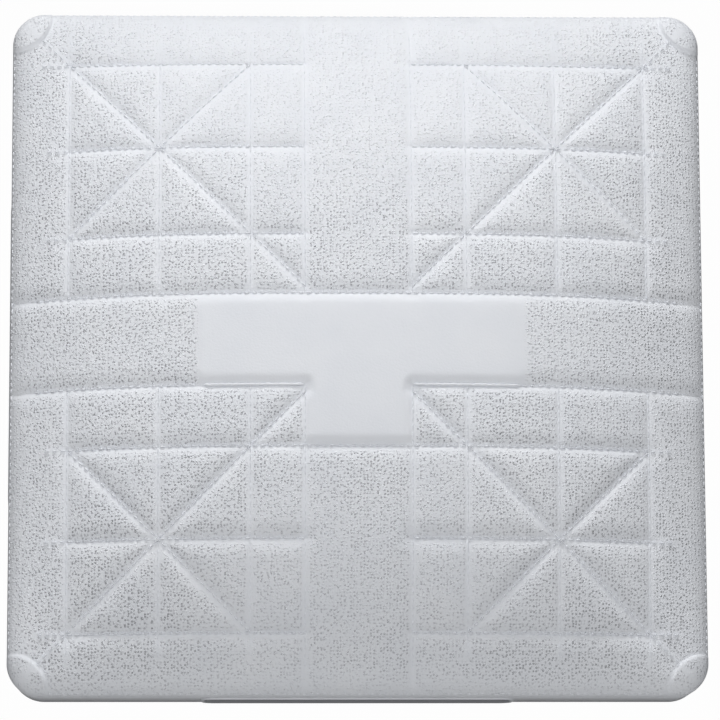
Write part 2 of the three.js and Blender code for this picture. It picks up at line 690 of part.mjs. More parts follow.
// Four flat bars under the lip: the front and rear ones run past the ends of the other two
function clampStrips() {
  const meshes = [];
  const bars = [
    ['clamp_strip_front', 0, -1, STRIP_LONG_HALF],
    ['clamp_strip_rear', 0, 1, STRIP_LONG_HALF],
    ['clamp_strip_left', -1, 0, STRIP_SHORT_HALF],
    ['clamp_strip_right', 1, 0, STRIP_SHORT_HALF],
  ];
  for (const [name, sideX, sideY, half] of bars) {
    const shape = rectangle(2 * half, STRIP_WIDTH);
    for (const along of [-STRIP_SCREW_SPACING, 0, STRIP_SCREW_SPACING]) {
      const hole = polygon(BOLT_SIDES, SCREW_DIAMETER + 2 * HOLE_GAP);
      shape.holes.push(new THREE.Path(hole.map((p) => p.clone().add(new THREE.Vector2(along, 0)))));
    }
    const geometry = prism(shape, STRIP_BOTTOM, STRIP_TOP);
    if (sideX !== 0) geometry.rotateZ(Math.PI / 2);
    const mesh = part(name, geometry, GALVANISED);
    mesh.position.set(sideX * STRIP_OFFSET, sideY * STRIP_OFFSET, 0);
    meshes.push(mesh);
  }
  return meshes;
}

// Round-headed screws from below, with nuts on the pan's flange
function stripFasteners() {
  const meshes = [];
  const headTop = STRIP_BOTTOM - FIT_GAP;
  const nutBottom = FLANGE_TOP + FIT_GAP;
  const nutTop = nutBottom + SCREW_NUT_HEIGHT;
  const tail = nutTop + SCREW_TAIL;
  const headRadius = SCREW_HEAD_DIAMETER / 2;
  const shankRadius = SCREW_DIAMETER / 2;
  const profile = [
    [0, headTop - SCREW_HEAD_HEIGHT],
    [SCREW_HEAD_FLAT / 2, headTop - SCREW_HEAD_HEIGHT],
    [headRadius, headTop - SCREW_HEAD_EDGE],
    [headRadius, headTop],
    [shankRadius, headTop],
    [shankRadius, tail],
    [0, tail],
  ].map(([r, z]) => new THREE.Vector2(r, z));
  stripScrewPlaces().forEach(([x, y], k) => {
    const screw = new THREE.LatheGeometry(profile, BOLT_SIDES).rotateX(Math.PI / 2);
    const nut = hexNut(SCREW_NUT_FLATS, SCREW_DIAMETER + 2 * FIT_GAP, nutBottom, nutTop);
    const pieces = [part(`strip_screw_${k + 1}`, screw, ZINC), part(`strip_nut_${k + 1}`, nut, ZINC)];
    for (const piece of pieces) {
      piece.position.set(x, y, 0);
      meshes.push(piece);
    }
  });
  return meshes;
}

const base = new THREE.Group();
base.add(
  cover(),
  foamPad(),
  innerPan(),
  panRail('pan_rail_front', -RAIL_OFFSET),
  panRail('pan_rail_rear', RAIL_OFFSET),
  stanchionPlate(),
  stanchionSocket(),
  stanchionLeg(),
  ...plateFasteners(),
  ...lockPieces(),
  ...clampStrips(),
  ...stripFasteners(),
);

export default base;
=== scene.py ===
"""A baseball base: the look of its moulded rubber cover, its stitching and the steel underneath."""
import json
import math

import bpy
import numpy as np
from mathutils import Matrix, Vector


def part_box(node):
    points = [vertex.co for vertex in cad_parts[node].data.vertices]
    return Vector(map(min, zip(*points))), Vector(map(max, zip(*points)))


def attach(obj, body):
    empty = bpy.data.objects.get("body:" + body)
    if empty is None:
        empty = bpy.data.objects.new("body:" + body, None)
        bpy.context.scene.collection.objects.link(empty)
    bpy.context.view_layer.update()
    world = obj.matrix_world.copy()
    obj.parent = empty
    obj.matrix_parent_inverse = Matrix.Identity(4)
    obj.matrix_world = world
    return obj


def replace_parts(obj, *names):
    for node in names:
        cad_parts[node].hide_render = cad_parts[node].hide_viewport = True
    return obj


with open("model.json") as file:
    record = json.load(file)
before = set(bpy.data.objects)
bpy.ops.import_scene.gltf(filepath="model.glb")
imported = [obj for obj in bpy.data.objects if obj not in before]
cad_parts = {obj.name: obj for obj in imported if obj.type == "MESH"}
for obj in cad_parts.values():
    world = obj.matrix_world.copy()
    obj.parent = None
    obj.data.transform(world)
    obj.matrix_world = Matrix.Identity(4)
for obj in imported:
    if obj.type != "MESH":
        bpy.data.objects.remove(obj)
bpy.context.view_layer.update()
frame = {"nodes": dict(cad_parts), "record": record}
nodes = frame["nodes"]

# Sizes in millimetres, as in the CAD part
MM = 0.001
CROWN_HEIGHT = 76.2
RIM_HEIGHT = 43.0
CROWN_REACH = 186.0
CROWN_POWER = 3.11
FOOT_HALF = 188.7
WALL_HALF = 190.0
TOP_HALF = 176.0
WALL_TOP = 35.0
FOOT_ROUND = 3.0
CORNER_RADIUS = 18.0
TOP_CORNER_RADIUS = 6.0
EDGE_SLOPE = 0.44

# Quilting
QUARTERS = ((-1, -1), (-1, 1), (1, -1), (1, 1))
BAND_X = 29.0
BAND_Y = 25.3
INNER_LINE = 58.6
MIDDLE_LINE = 108.25
OUTER_LINE = 157.9
DIAGONAL_START = min(BAND_X, BAND_Y) + 3.0
LINE_END = TOP_HALF - 5.0
PUFF_HEIGHT = 1.45
PUFF_REACH = 10.7
DIAGONAL_REACH = 10.0
PUFF_POWER = 1.8
PINCH_DEPTH = 0.95
PINCH_REACH = 2.6
UPRIGHT_CREASE = 0.5
GROOVE_DEPTH = 0.25
GROOVE_WIDTH = 1.0
LINE_CROWN = CROWN_HEIGHT - PUFF_HEIGHT

# Label panel: a wide bar with a stem towards the front
LABEL_LEFT = -86.0
LABEL_RIGHT = 89.5
LABEL_CORNER = 4.0
LABEL_FADE = 4.0
LABEL_RAISE = 0.2
LABEL_EDGE = 1.5
LABEL_REACH = 5.5
LABEL_POWER = 1.3

# Cord along the front seam of the label's bar
CORD_RADIUS = 0.9
CORD_LIFT = 0.85
CORD_INSET = 2.0
CORD_GAP = 0.5
CORD_WAVE = 0.12
CORD_WAVE_RATE = 1.5
CORD_JITTER = 0.03
CORD_TAPER = 1.5
CORD_TIP = 0.15
CORD_STEPS = 60
CORD_SIDES = 8

# Corner caps, with a fine groove round each one
CAP_RADIUS = 19.8
CAP_CENTRE = WALL_HALF - 2.0
CAP_RAISE = 1.3
CAP_RIM = (-0.6, 0.3)
CAP_GROOVE_DEPTH = 0.35
CAP_GROOVE_PLACE = 1.1
CAP_GROOVE_WIDTH = 0.8

# Side recesses
RECESS_LENGTH = 166.0
RECESS_BOTTOM = 6.5
RECESS_TOP = 26.5
RECESS_MIDDLE = (RECESS_TOP + RECESS_BOTTOM) / 2
RECESS_DEPTH = 3.5
RECESS_RADIUS = 5.0
RECESS_EDGE = (-0.4, 1.3)
BEAD_WIDTH = 2.4
BEAD_PROUD = 0.9
BEAD_SINK = 0.2
BEAD_CORNER_STEPS = 9
BEAD_SIDES = 12

# Inside of the cover; a ring is its half width, its corner radius and its height
UNDERSIDE_RINGS = [(184.0, 12.0, 0.0), (178.6, 6.2, 0.0), (177.8, 5.4, 0.3)]
CAVITY_HALF = 177.5
CAVITY_CORNER = 6.8
CAVITY_MIDDLE = 21.0
CAVITY_SHOULDER = 27.0
SHOULDER_RINGS = [(175.5, 5.0, 34.5), (170.5, 5.0, 37.5)]
CEILING_HALVES = (163.5, 140.0, 110.0, 80.0, 50.0, 20.0)
INNER_CORNER = 5.0
MOUTH_HALF = 150.0
MOUTH_CORNER = 10.0
LIP_HALF = 165.0
LIP_CORNER = 8.0
LIP_BOTTOM = 8.0
LIP_TOP = 12.0
LIP_ROUND = 1.0
LIP_CUT = 0.3
COVER_TOP = 8.85

# Steps of the cover's mesh
BAND_STEPS = 23
BAND_GAP_STEPS = 3
INNER_STEPS = 24
CELL_STEPS = 78
EDGE_STEPS = 33
SHOULDER_STEPS = 35
WALL_STOPS = ((RECESS_TOP + 3.0, 7), (RECESS_TOP - 2.5, 13), (RECESS_BOTTOM + 2.5, 4), (FOOT_ROUND, 11))
FOOT_TURNS = (22.5, 45.0, 67.5, 90.0)

# Stitches; their turn is in degrees
STITCH_PITCH = 4.2
STITCH_LENGTH = 2.9
STITCH_HALF_WIDTH = 0.52
STITCH_HALF_HEIGHT = 0.8
STITCH_LIFT = 0.65
STITCH_TURN = 2.5
STITCH_SIZES = (0.85, 1.1)
STITCH_LENGTHS = (0.9, 1.08)
UPRIGHT_STITCH = 0.5
OUTER_STITCH = 0.7
SEAM_REACH = OUTER_LINE + 8.0
SEAM_PITCH = 3.7
SEAM_SHARE = 0.72
SEAM_STEP = 0.02
SEAM_STITCH = 0.6
SEAM_HALF_LENGTH = 0.36 * STITCH_LENGTH

# Pebbled grain: where it starts and is full beside lines, label, caps and recesses
GRAIN_BY_UPRIGHT = (0.8, 3.0)
GRAIN_IN_FRONT = (1.3, 5.0)
GRAIN_BEHIND = (0.4, 2.0)
GRAIN_BY_OUTER = (0.5, 2.5)
GRAIN_BY_LABEL = (0.0, 3.0)
GRAIN_BY_CAP = (0.4, 2.4)
GRAIN_BY_RECESS = (-3.5, -2.5)
SIDE_GRAIN = 0.6
FOOT_GRAIN = 0.5

# It is fainter in the middle of the front and towards the middle of the back
FRONT_LOSS = 0.35
FRONT_FADE_X = (40.0, 110.0)
FRONT_FADE_Y = (40.0, 120.0)
BACK_GRAIN = 0.4
BACK_FADE = (50.0, 165.0)
BACK_WIDTH = 0.75

# Pebbles per metre, and their height in metres
PEBBLE_SCALE = 560.0
PEBBLE_HEIGHT = 0.00096

# Foam pad; its side is given as half widths and heights
FOAM_GAP = 0.4
FOAM_HALF = 163.2
FOAM_CENTRE = 8.0
FOAM_RINGS = (FOAM_CENTRE, 25.0, 45.0, 65.0, 85.0, 105.0, 120.0, 135.0, 150.0, 158.0, FOAM_HALF)
FOAM_BOTTOM = 34.4
FOAM_SIDE = [(168.0, 37.0), (170.0, 35.2), (169.5, 34.6), (166.0, FOAM_BOTTOM)]
FOAM_MIDDLE = 110.0
FOAM_CORNER = 4.0
FOAM_PULL = 1.5
FOAM_STEPS = 40
RELIEF_HALF = 59.0
RELIEF_MIDDLE = 30.0
RELIEF_TOP = 51.0
RELIEF_ROUND = 1.5

# Bolts, washers and nuts of the plate
BOLT_FLATS = 16.0
BOLT_HEAD = 6.4
BOLT_RADIUS = 5.0
BOLT_PITCH = 1.5
BOLT_TIP = 1.2
WASHER_HOLE = 10.8
WASHER_EDGE = 0.3
NUT_HOLE = 10.6

# Locks of the leg
BOSS_FLATS = 15.0
JAM_FLATS = 13.0
LOCK_HOLE = 8.6
LOCK_RADIUS = 4.0
LOCK_PITCH = 1.25
LOCK_TIP = 1.4
LOCK_HEAD = 8.0
LOCK_HEAD_FLATS = 11.0
LOCK_HEAD_RADIUS = 7.4
LOCK_HEIGHT = 10.0

# Screws and nuts of the clamp strips
STRIP_HEAD_RADIUS = 6.0
STRIP_HEAD = 3.0
STRIP_HEAD_FLAT = 3.3
STRIP_HEAD_EDGE = 0.8
STRIP_KEY_FLATS = 4.0
STRIP_KEY_DEPTH = 2.0
STRIP_KEY_EDGE = 0.3
STRIP_KEY_FLARE = 0.4
STRIP_RADIUS = 3.0
STRIP_PITCH = 1.0
STRIP_TIP = 0.7
STRIP_NUT_FLATS = 10.0
STRIP_NUT_HOLE = 6.6

# What the steel fittings share
THREAD_START = 0.4
THREAD_DEPTH = 0.5
COUNTERSINK = 0.5
CHAMFER_SHARE = 0.49
CHAMFER_STEPS = 5
ROUND_STEPS = 48
PAN_CEILING = 31.5

# Leg and welds
LEG_HALF = 12.7
LEG_CORNER = 3.0
LEG_EDGE = 0.5
LEG_BORE_HALF = 9.5
LEG_BORE_CORNER = 1.0
LEG_BORE_EDGE = 0.4
SOCKET_HALF = 17.1
SOCKET_WELD_OUT = 0.6
SOCKET_WELD_CORNER = 2.0
BOSS_WELD_FLATS = BOSS_FLATS + 1.0
BOSS_WELD_REACH = 9.0
WELD_RADIUS = 1.7
WELD_SINK = 0.3
WELD_RIPPLE = 0.12
WELD_WAVES = 12
WELD_SIDES = 10

# Stage, in metres
FLOOR_HEIGHT = -0.141
FLOOR_HALF = 4.0
FLOOR_WHITE = 0.985
SKY_LEVEL = 0.05
BASE_MIDDLE = (0.0, 0.0, 0.06)

random = np.random.default_rng(7)


def smooth(low, high, value):
    """0 below low, 1 above high and a soft step between them."""
    t = np.clip((value - low) / (high - low), 0, 1)
    return t * t * (3 - 2 * t)


def rounded_depth(x, y, half_x, half_y, radius):
    """Distance inside a rounded rectangle round the origin, negative outside it."""
    dx = np.abs(x) - half_x + radius
    dy = np.abs(y) - half_y + radius
    beyond = np.hypot(np.maximum(dx, 0), np.maximum(dy, 0))
    return radius - beyond - np.minimum(np.maximum(dx, dy), 0)


# Surface of the top
def fall(v):
    return 1 - np.minimum(1, np.abs(v) / CROWN_REACH) ** CROWN_POWER


def crown(x, y):
    """Height of the top at the level of its stitched lines."""
    return RIM_HEIGHT + (LINE_CROWN - RIM_HEIGHT) * fall(x) * fall(y)


def quilt_lines():
    """Every creased line of the quilting as (x0, y0, x1, y1)."""
    lines = [(-BAND_X, BAND_Y, BAND_X, BAND_Y), (-BAND_X, -INNER_LINE, BAND_X, -INNER_LINE)]
    for sx, sy in QUARTERS:
        lines.append((sx * BAND_X, sy * BAND_Y, sx * BAND_X, sy * TOP_HALF))
        lines.append((sx * BAND_X, sy * BAND_Y, sx * TOP_HALF, sy * BAND_Y))
        for place in (INNER_LINE, MIDDLE_LINE, OUTER_LINE):
            lines.append((sx * place, sy * BAND_Y, sx * place, sy * OUTER_LINE))
            lines.append((sx * BAND_X, sy * place, sx * OUTER_LINE, sy * place))
        lines.append((sx * DIAGONAL_START, sy * DIAGONAL_START, sx * OUTER_LINE, sy * OUTER_LINE))
        lines.append((sx * INNER_LINE, sy * OUTER_LINE, sx * OUTER_LINE, sy * INNER_LINE))
    return lines


def outer_lines():
    """The stitched lines that run on without a crease to the edge of the top."""
    lines = []
    cap = CAP_CENTRE - CAP_RADIUS / math.sqrt(2)
    for sx, sy in QUARTERS:
        for place in (INNER_LINE, MIDDLE_LINE, OUTER_LINE):
            reach = LINE_END if place < OUTER_LINE else cap
            lines.append((sx * place, sy * OUTER_LINE, sx * place, sy * reach))
            lines.append((sx * OUTER_LINE, sy * place, sx * reach, sy * place))
        lines.append((sx * OUTER_LINE, sy * OUTER_LINE, sx * cap, sy * cap))
    return lines


QUILT_LINES = quilt_lines()
OUTER_LINES = outer_lines()


def line_distance(x, y, line):
    x0, y0, x1, y1 = line
    dx, dy = x1 - x0, y1 - y0
    t = np.clip(((x - x0) * dx + (y - y0) * dy) / (dx * dx + dy * dy), 0, 1)
    return np.hypot(x - x0 - t * dx, y - y0 - t * dy)


def label_depth(x, y):
    """Distance inside the label panel, negative outside it."""
    middle = (LABEL_LEFT + LABEL_RIGHT) / 2
    bar = rounded_depth(x - middle, y, (LABEL_RIGHT - LABEL_LEFT) / 2, BAND_Y, LABEL_CORNER)
    stem = np.minimum(BAND_X - np.abs(x), np.minimum(y + INNER_LINE, BAND_Y - y))
    return np.maximum(bar, stem)


def label_share(x, y):
    """1 on the label panel, fading at the two ends of its bar."""
    left = smooth(-LABEL_FADE, LABEL_FADE, x - LABEL_LEFT)
    right = smooth(-LABEL_FADE, LABEL_FADE, LABEL_RIGHT - x)
    bar = np.where(np.abs(y) < BAND_Y, left * right, 0.0)
    stem = (np.abs(x) < BAND_X) & (y > -INNER_LINE) & (y < BAND_Y)
    return np.maximum(bar, stem)


def cap_away(x, y):
    """Distance from the rim of the nearest corner cap, negative on the cap."""
    return np.hypot(np.abs(x) - CAP_CENTRE, np.abs(y) - CAP_CENTRE) - CAP_RADIUS


def cap_relief(x, y):
    """Height of the corner caps, with the fine groove round them."""
    away = cap_away(x, y)
    groove = CAP_GROOVE_DEPTH * np.exp(-((away - CAP_GROOVE_PLACE) / CAP_GROOVE_WIDTH) ** 2)
    return CAP_RAISE * (1 - smooth(*CAP_RIM, away)) - groove


def top_height(x, y):
    """Height of the finished top: crown, puffs, grooves, label panel and caps."""
    share = np.ones_like(x)
    pinch = np.zeros_like(x)
    groove = np.zeros_like(x)
    on_label = label_share(x, y)
    for line in QUILT_LINES:
        away = line_distance(x, y, line)
        upright = line[0] == line[2]
        reach = PUFF_REACH if upright or line[1] == line[3] else DIAGONAL_REACH
        reach = reach + (LABEL_REACH - reach) * on_label
        depth = UPRIGHT_CREASE if upright else 1.0
        power = PUFF_POWER + (LABEL_POWER - PUFF_POWER) * on_label
        share = share * (1 - depth * (1 - np.minimum(1, away / reach)) ** power)
        pinch = np.maximum(pinch, depth * np.exp(-away / PINCH_REACH))
        groove = np.maximum(groove, depth * np.exp(-(away / GROOVE_WIDTH) ** 2))
    height = crown(x, y) + PUFF_HEIGHT * share - PINCH_DEPTH * pinch - GROOVE_DEPTH * groove
    height = height + LABEL_RAISE * smooth(-LABEL_EDGE, LABEL_EDGE, label_depth(x, y))
    return height + cap_relief(x, y)


def grain_margin(x, y, line):
    """Grain beside a creased line: it starts further off on the front side."""
    x0, y0, x1, y1 = line
    away = line_distance(x, y, line)
    if x0 == x1:
        return smooth(*GRAIN_BY_UPRIGHT, away)
    in_front = y < y0 + (y1 - y0) / (x1 - x0) * (x - x0)
    return np.where(in_front, smooth(*GRAIN_IN_FRONT, away), smooth(*GRAIN_BEHIND, away))


def grain_share(x, y):
    """How much of the pebbled grain shows at a place of the top."""
    share = np.ones_like(x)
    for line in QUILT_LINES:
        share = np.minimum(share, grain_margin(x, y, line))
    for line in OUTER_LINES:
        share = np.minimum(share, smooth(*GRAIN_BY_OUTER, line_distance(x, y, line)))
    front_middle = smooth(*FRONT_FADE_Y, -y) * (1 - smooth(*FRONT_FADE_X, np.abs(x)))
    from_back = smooth(*BACK_FADE, np.hypot(BACK_WIDTH * x, y - WALL_HALF))
    share = share * (1 - FRONT_LOSS * front_middle)
    share = share * (BACK_GRAIN + (1 - BACK_GRAIN) * from_back)
    return share * smooth(*GRAIN_BY_LABEL, -label_depth(x, y))


# Meshes
def add_object(name, data):
    obj = bpy.data.objects.new(name, data)
    bpy.context.scene.collection.objects.link(obj)
    return obj


def make_piece(name, points, faces, material, body="base", sharp=40.0):
    """A mesh piece from points in millimetres, riding on a body of the frame."""
    mesh = bpy.data.meshes.new(name)
    mesh.from_pydata((np.asarray(points) * MM).tolist(), [], [list(face) for face in faces])
    mesh.update()
    mesh.polygons.foreach_set("use_smooth", [True] * len(mesh.polygons))
    mesh.set_sharp_from_angle(angle=math.radians(sharp))
    obj = add_object(name, mesh)
    mesh.materials.append(material)
    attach(obj, body)
    return obj


def join(parts):
    """Points and faces of several meshes as one."""
    points = []
    faces = []
    start = 0
    for part_points, part_faces in parts:
        points.append(part_points)
        faces += [tuple(start + k for k in face) for face in part_faces]
        start += len(part_points)
    return np.concatenate(points), faces


def bridge(upper, lower):
    """Quads between two closed rings of the same count, the second one below the first."""
    after = np.roll(np.arange(len(upper)), -1)
    return np.stack([upper, lower, lower[after], upper[after]], axis=1)


def tube(path, normals, binormals, half_width, half_height, sides, closed):
    """A tube of elliptical section along a path of points."""
    count = len(path)
    rings = []
    for turn in np.linspace(0, 2 * math.pi, sides, endpoint=False):
        across = half_width * math.cos(turn) * binormals
        rings.append(path + across + half_height * math.sin(turn) * normals)
    faces = []
    last = count if closed else count - 1
    for side in range(sides):
        here = side * count
        following = (side + 1) % sides * count
        for k in range(last):
            after = (k + 1) % count
            faces.append((here + k, here + after, following + after, following + k))
    return np.concatenate(rings), faces


def rounded_loop(half_x, half_y, radius, steps):
    """Points round a rounded rectangle, with their outward directions."""
    turns = np.concatenate([np.linspace(begin, begin + 90, steps) for begin in (0, 90, 180, 270)])
    outward = np.stack([np.cos(np.radians(turns)), np.sin(np.radians(turns))], axis=1)
    signs = np.repeat([(1, 1), (-1, 1), (-1, -1), (1, -1)], steps, axis=0)
    return signs * [half_x - radius, half_y - radius] + radius * outward, outward


def quarter_turns():
    return [np.array(Matrix.Rotation(k * math.pi / 2, 3, "Z")) for k in range(4)]


# Cover
def corner_run(share, straight, half, radius):
    """A point past the straight part of a rounded square's side; share 1 is the corner's middle."""
    flat = half - radius - straight
    run = share * (flat + radius * math.pi / 4)
    angle = np.maximum(0, run - flat) / np.maximum(radius, 1e-6)
    along = straight + np.minimum(run, flat) + radius * np.sin(angle)
    across = half - radius + radius * np.cos(angle)
    return along, across


def stepped(start, stops):
    """Places from a start to each stop in turn, in the stop's own number of steps."""
    places = [start]
    for stop, steps in stops:
        places.extend(np.linspace(places[-1], stop, steps + 1)[1:])
    return np.array(places)


def grid_places(band):
    """Grid places from the middle of the top to its edge, then mirrored."""
    gap_steps = BAND_GAP_STEPS if band < BAND_X else 0
    stops = [(band, BAND_STEPS - gap_steps), (BAND_X, gap_steps), (INNER_LINE, INNER_STEPS),
             (OUTER_LINE, CELL_STEPS), (TOP_HALF, EDGE_STEPS)]
    half = stepped(0.0, stops)
    return np.concatenate([-half[:0:-1], half])


def round_corners(x, y):
    """Bends the grid's corner squares so that its edge is a rounded square."""
    ax, ay = np.abs(x), np.abs(y)
    u = (ax - OUTER_LINE) / (TOP_HALF - OUTER_LINE)
    v = (ay - OUTER_LINE) / (TOP_HALF - OUTER_LINE)
    both = (u > 0) & (v > 0)
    larger = np.maximum(u, v)
    share = np.where(both, np.minimum(u, v) / np.where(larger > 0, larger, 1), 0)
    half = OUTER_LINE + larger * (TOP_HALF - OUTER_LINE)
    along, across = corner_run(share, OUTER_LINE, half, larger * TOP_CORNER_RADIUS)
    new_x = np.where(both, np.where(u >= v, across, along), ax)
    new_y = np.where(both, np.where(u >= v, along, across), ay)
    return np.sign(x) * new_x, np.sign(y) * new_y


def ring_point(side, along, half, radius, keep_places):
    """The ring's points on a rounded square: in line with the grid, or spread evenly."""
    size = np.abs(along)
    if keep_places:
        share = np.clip((size - OUTER_LINE) / (TOP_HALF - OUTER_LINE), 0, 1)
        run_along, run_across = corner_run(share, OUTER_LINE, half, radius)
        a = np.where(size > OUTER_LINE, run_along, size)
        b = np.where(size > OUTER_LINE, run_across, half)
    else:
        a, b = corner_run(size / TOP_HALF, 0.0, half, radius)
    a = np.sign(along) * a
    x = np.choose(side, [a, b, a, -b])
    y = np.choose(side, [-b, a, b, a])
    return x, y


def shoulder(start, along, t):
    """Half width and height of the rounded shoulder, t from the top's edge to the wall."""
    knee = start - EDGE_SLOPE * fall(along) * (WALL_HALF - TOP_HALF)
    half = WALL_HALF - (WALL_HALF - TOP_HALF) * (1 - t) ** 2
    return half, start * (1 - t) ** 2 + knee * 2 * t * (1 - t) + WALL_TOP * t * t


def wall_half(z):
    """Half width of the side walls at a height: a little narrower at the foot."""
    t = (WALL_TOP - z) / (WALL_TOP - FOOT_ROUND)
    return WALL_HALF + (FOOT_HALF - WALL_HALF) * t


def recess_depth_at(along, z):
    """Distance inside a side recess, negative outside it."""
    half_height = (RECESS_TOP - RECESS_BOTTOM) / 2
    return rounded_depth(along, z - RECESS_MIDDLE, RECESS_LENGTH / 2, half_height, RECESS_RADIUS)


class CoverSkin:
    """The cover's points, faces and grain: a grid for the top, then ring after ring."""

    def __init__(self):
        places_x = grid_places(BAND_X)
        places_y = grid_places(BAND_Y)
        count = len(places_x)
        x, y = np.meshgrid(places_x, places_y)
        x, y = round_corners(x.ravel(), y.ravel())
        index = np.arange(count * count).reshape(count, count)
        corners = [index[:-1, :-1], index[:-1, 1:], index[1:, 1:], index[1:, :-1]]
        self.points = [np.stack([x, y, top_height(x, y)], axis=1)]
        self.faces = [np.stack([corner.ravel() for corner in corners], axis=1)]
        self.grain = [grain_share(x, y)]
        self.side_grain = [np.zeros(count * count)]
        self.total = count * count
        self.upper = np.concatenate([index[0, :-1], index[:-1, -1], index[-1, :0:-1], index[:0:-1, 0]])
        self.side = np.repeat(np.arange(4), count - 1)
        self.along = np.concatenate([places_x[:-1], places_y[:-1], places_x[:0:-1], places_y[:0:-1]])

    def add_ring(self, half, radius, z, top_share=0.0, side_share=0.0, keep_places=True):
        x, y = ring_point(self.side, self.along, half, radius, keep_places)
        self.points.append(np.stack([x, y, np.broadcast_to(z, x.shape)], axis=1))
        self.grain.append(np.broadcast_to(top_share, x.shape))
        self.side_grain.append(np.broadcast_to(side_share, x.shape))
        lower = np.arange(self.total, self.total + len(x))
        self.total += len(x)
        self.faces.append(bridge(self.upper, lower))
        self.upper = lower


def add_shoulder(skin):
    """The rounded shoulder, where the grain changes over."""
    edge = skin.points[0][skin.upper]
    start = edge[:, 2] - cap_relief(edge[:, 0], edge[:, 1])
    edge_grain = skin.grain[0][skin.upper]
    for t in np.linspace(0, 1, SHOULDER_STEPS + 1)[1:]:
        half, z = shoulder(start, skin.along, t)
        radius = CORNER_RADIUS - (CORNER_RADIUS - TOP_CORNER_RADIUS) * (1 - t) ** 2
        skin.add_ring(half, radius, z, edge_grain * (1 - t), SIDE_GRAIN * t)


def add_walls(skin):
    """The walls and their rounded foot, with more rings at the edges of the recesses."""
    for z in stepped(WALL_TOP, WALL_STOPS)[1:]:
        bare = smooth(*GRAIN_BY_RECESS, recess_depth_at(skin.along, z))
        skin.add_ring(wall_half(z), CORNER_RADIUS, z, side_share=SIDE_GRAIN * (1 - bare))
    for turn in np.radians(FOOT_TURNS):
        inward = FOOT_ROUND * (1 - math.cos(turn))
        z = FOOT_ROUND * (1 - math.sin(turn))
        skin.add_ring(FOOT_HALF - inward, CORNER_RADIUS - inward, z, side_share=FOOT_GRAIN)


def add_underside(skin):
    """The underside, the lip round the mouth and the hollow above it."""
    rings = UNDERSIDE_RINGS + [
        (CAVITY_HALF, CAVITY_CORNER, LIP_ROUND),
        (CAVITY_HALF, CAVITY_CORNER, LIP_BOTTOM / 2),
        (CAVITY_HALF, CAVITY_CORNER, LIP_BOTTOM - LIP_ROUND),
        (CAVITY_HALF - LIP_CUT, INNER_CORNER, LIP_BOTTOM - LIP_CUT),
        (CAVITY_HALF - LIP_ROUND, INNER_CORNER, LIP_BOTTOM),
        (LIP_HALF, LIP_CORNER, LIP_BOTTOM),
    ]
    edge = [(MOUTH_HALF + LIP_ROUND, 0.0), (MOUTH_HALF + LIP_CUT, LIP_CUT), (MOUTH_HALF, LIP_ROUND)]
    rings += [(half, MOUTH_CORNER, LIP_BOTTOM + inward) for half, inward in edge]
    rings += [(half, MOUTH_CORNER, LIP_TOP - inward) for half, inward in reversed(edge)]
    rings.append((LIP_HALF, LIP_CORNER, LIP_TOP))
    rings += [(CAVITY_HALF, CAVITY_CORNER, z) for z in (LIP_TOP, CAVITY_MIDDLE, CAVITY_SHOULDER)]
    for half, radius, z in rings + SHOULDER_RINGS:
        skin.add_ring(half, radius, z, keep_places=False)
    for half in CEILING_HALVES:
        x, y = ring_point(skin.side, skin.along, half, INNER_CORNER, False)
        skin.add_ring(half, INNER_CORNER, crown(x, y) - COVER_TOP, keep_places=False)


def cover_shell(material):
    """The whole moulded cover as one closed skin."""
    skin = CoverSkin()
    top_end = skin.total
    add_shoulder(skin)
    add_walls(skin)
    outside_end = skin.total
    add_underside(skin)
    centre = skin.total
    closing = [(a, centre, b) for a, b in zip(skin.upper, np.roll(skin.upper, -1))]
    points = np.concatenate(skin.points + [[(0.0, 0.0, LINE_CROWN - COVER_TOP)]])
    faces = np.concatenate(skin.faces).tolist() + closing

    # Caps on the shoulder and recesses in the walls, worked into the outer skin
    order = np.arange(len(points))
    rim = (order >= top_end) & (order < outside_end)
    shoulder_end = WALL_TOP - 0.01
    wall_reach = FOOT_HALF - 2.0
    wall_end = WALL_TOP - 1.0
    x, y, z = points.T
    on_shoulder = rim & (z > shoulder_end)
    points[on_shoulder, 2] += cap_relief(x, y)[on_shoulder]
    by_cap = smooth(*GRAIN_BY_CAP, np.abs(cap_away(x, y) - CAP_RIM[1]))
    clear = np.where(z > shoulder_end, by_cap, 1.0)
    for axis in (0, 1):
        wall = rim & (np.abs(points[:, axis]) > wall_reach) & (z < wall_end)
        deep = RECESS_DEPTH * smooth(*RECESS_EDGE, recess_depth_at(points[:, 1 - axis], z))
        points[wall, axis] -= (np.sign(points[:, axis]) * deep)[wall]

    shell = make_piece("cover_shell", points, faces, material, sharp=60.0)
    for name, shares in (("grain", skin.grain), ("side_grain", skin.side_grain)):
        values = clear * np.concatenate(shares + [[0.0]])
        attribute = shell.data.attributes.new(name, "FLOAT", "POINT")
        attribute.data.foreach_set("value", values.astype(np.float32))
    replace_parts(shell, "cover")


def side_beads(material):
    """The raised bead round each of the four side recesses."""
    half_length = RECESS_LENGTH / 2 + BEAD_WIDTH / 2
    half_height = (RECESS_TOP - RECESS_BOTTOM) / 2 + BEAD_WIDTH / 2
    radius = RECESS_RADIUS + BEAD_WIDTH / 2
    outline, outward = rounded_loop(half_length, half_height, radius, BEAD_CORNER_STEPS)
    z = RECESS_MIDDLE + outline[:, 1]
    path = np.stack([outline[:, 0], BEAD_SINK - wall_half(z), z], axis=1)
    normals = np.tile([0.0, -1.0, 0.0], (len(path), 1))
    binormals = np.insert(outward, 1, 0.0, axis=1)
    height = BEAD_PROUD + BEAD_SINK
    points, faces = tube(path, normals, binormals, BEAD_WIDTH / 2, height, BEAD_SIDES, True)
    points, faces = join([(points @ spin.T, faces) for spin in quarter_turns()])
    make_piece("cover_beads", points, faces, material)


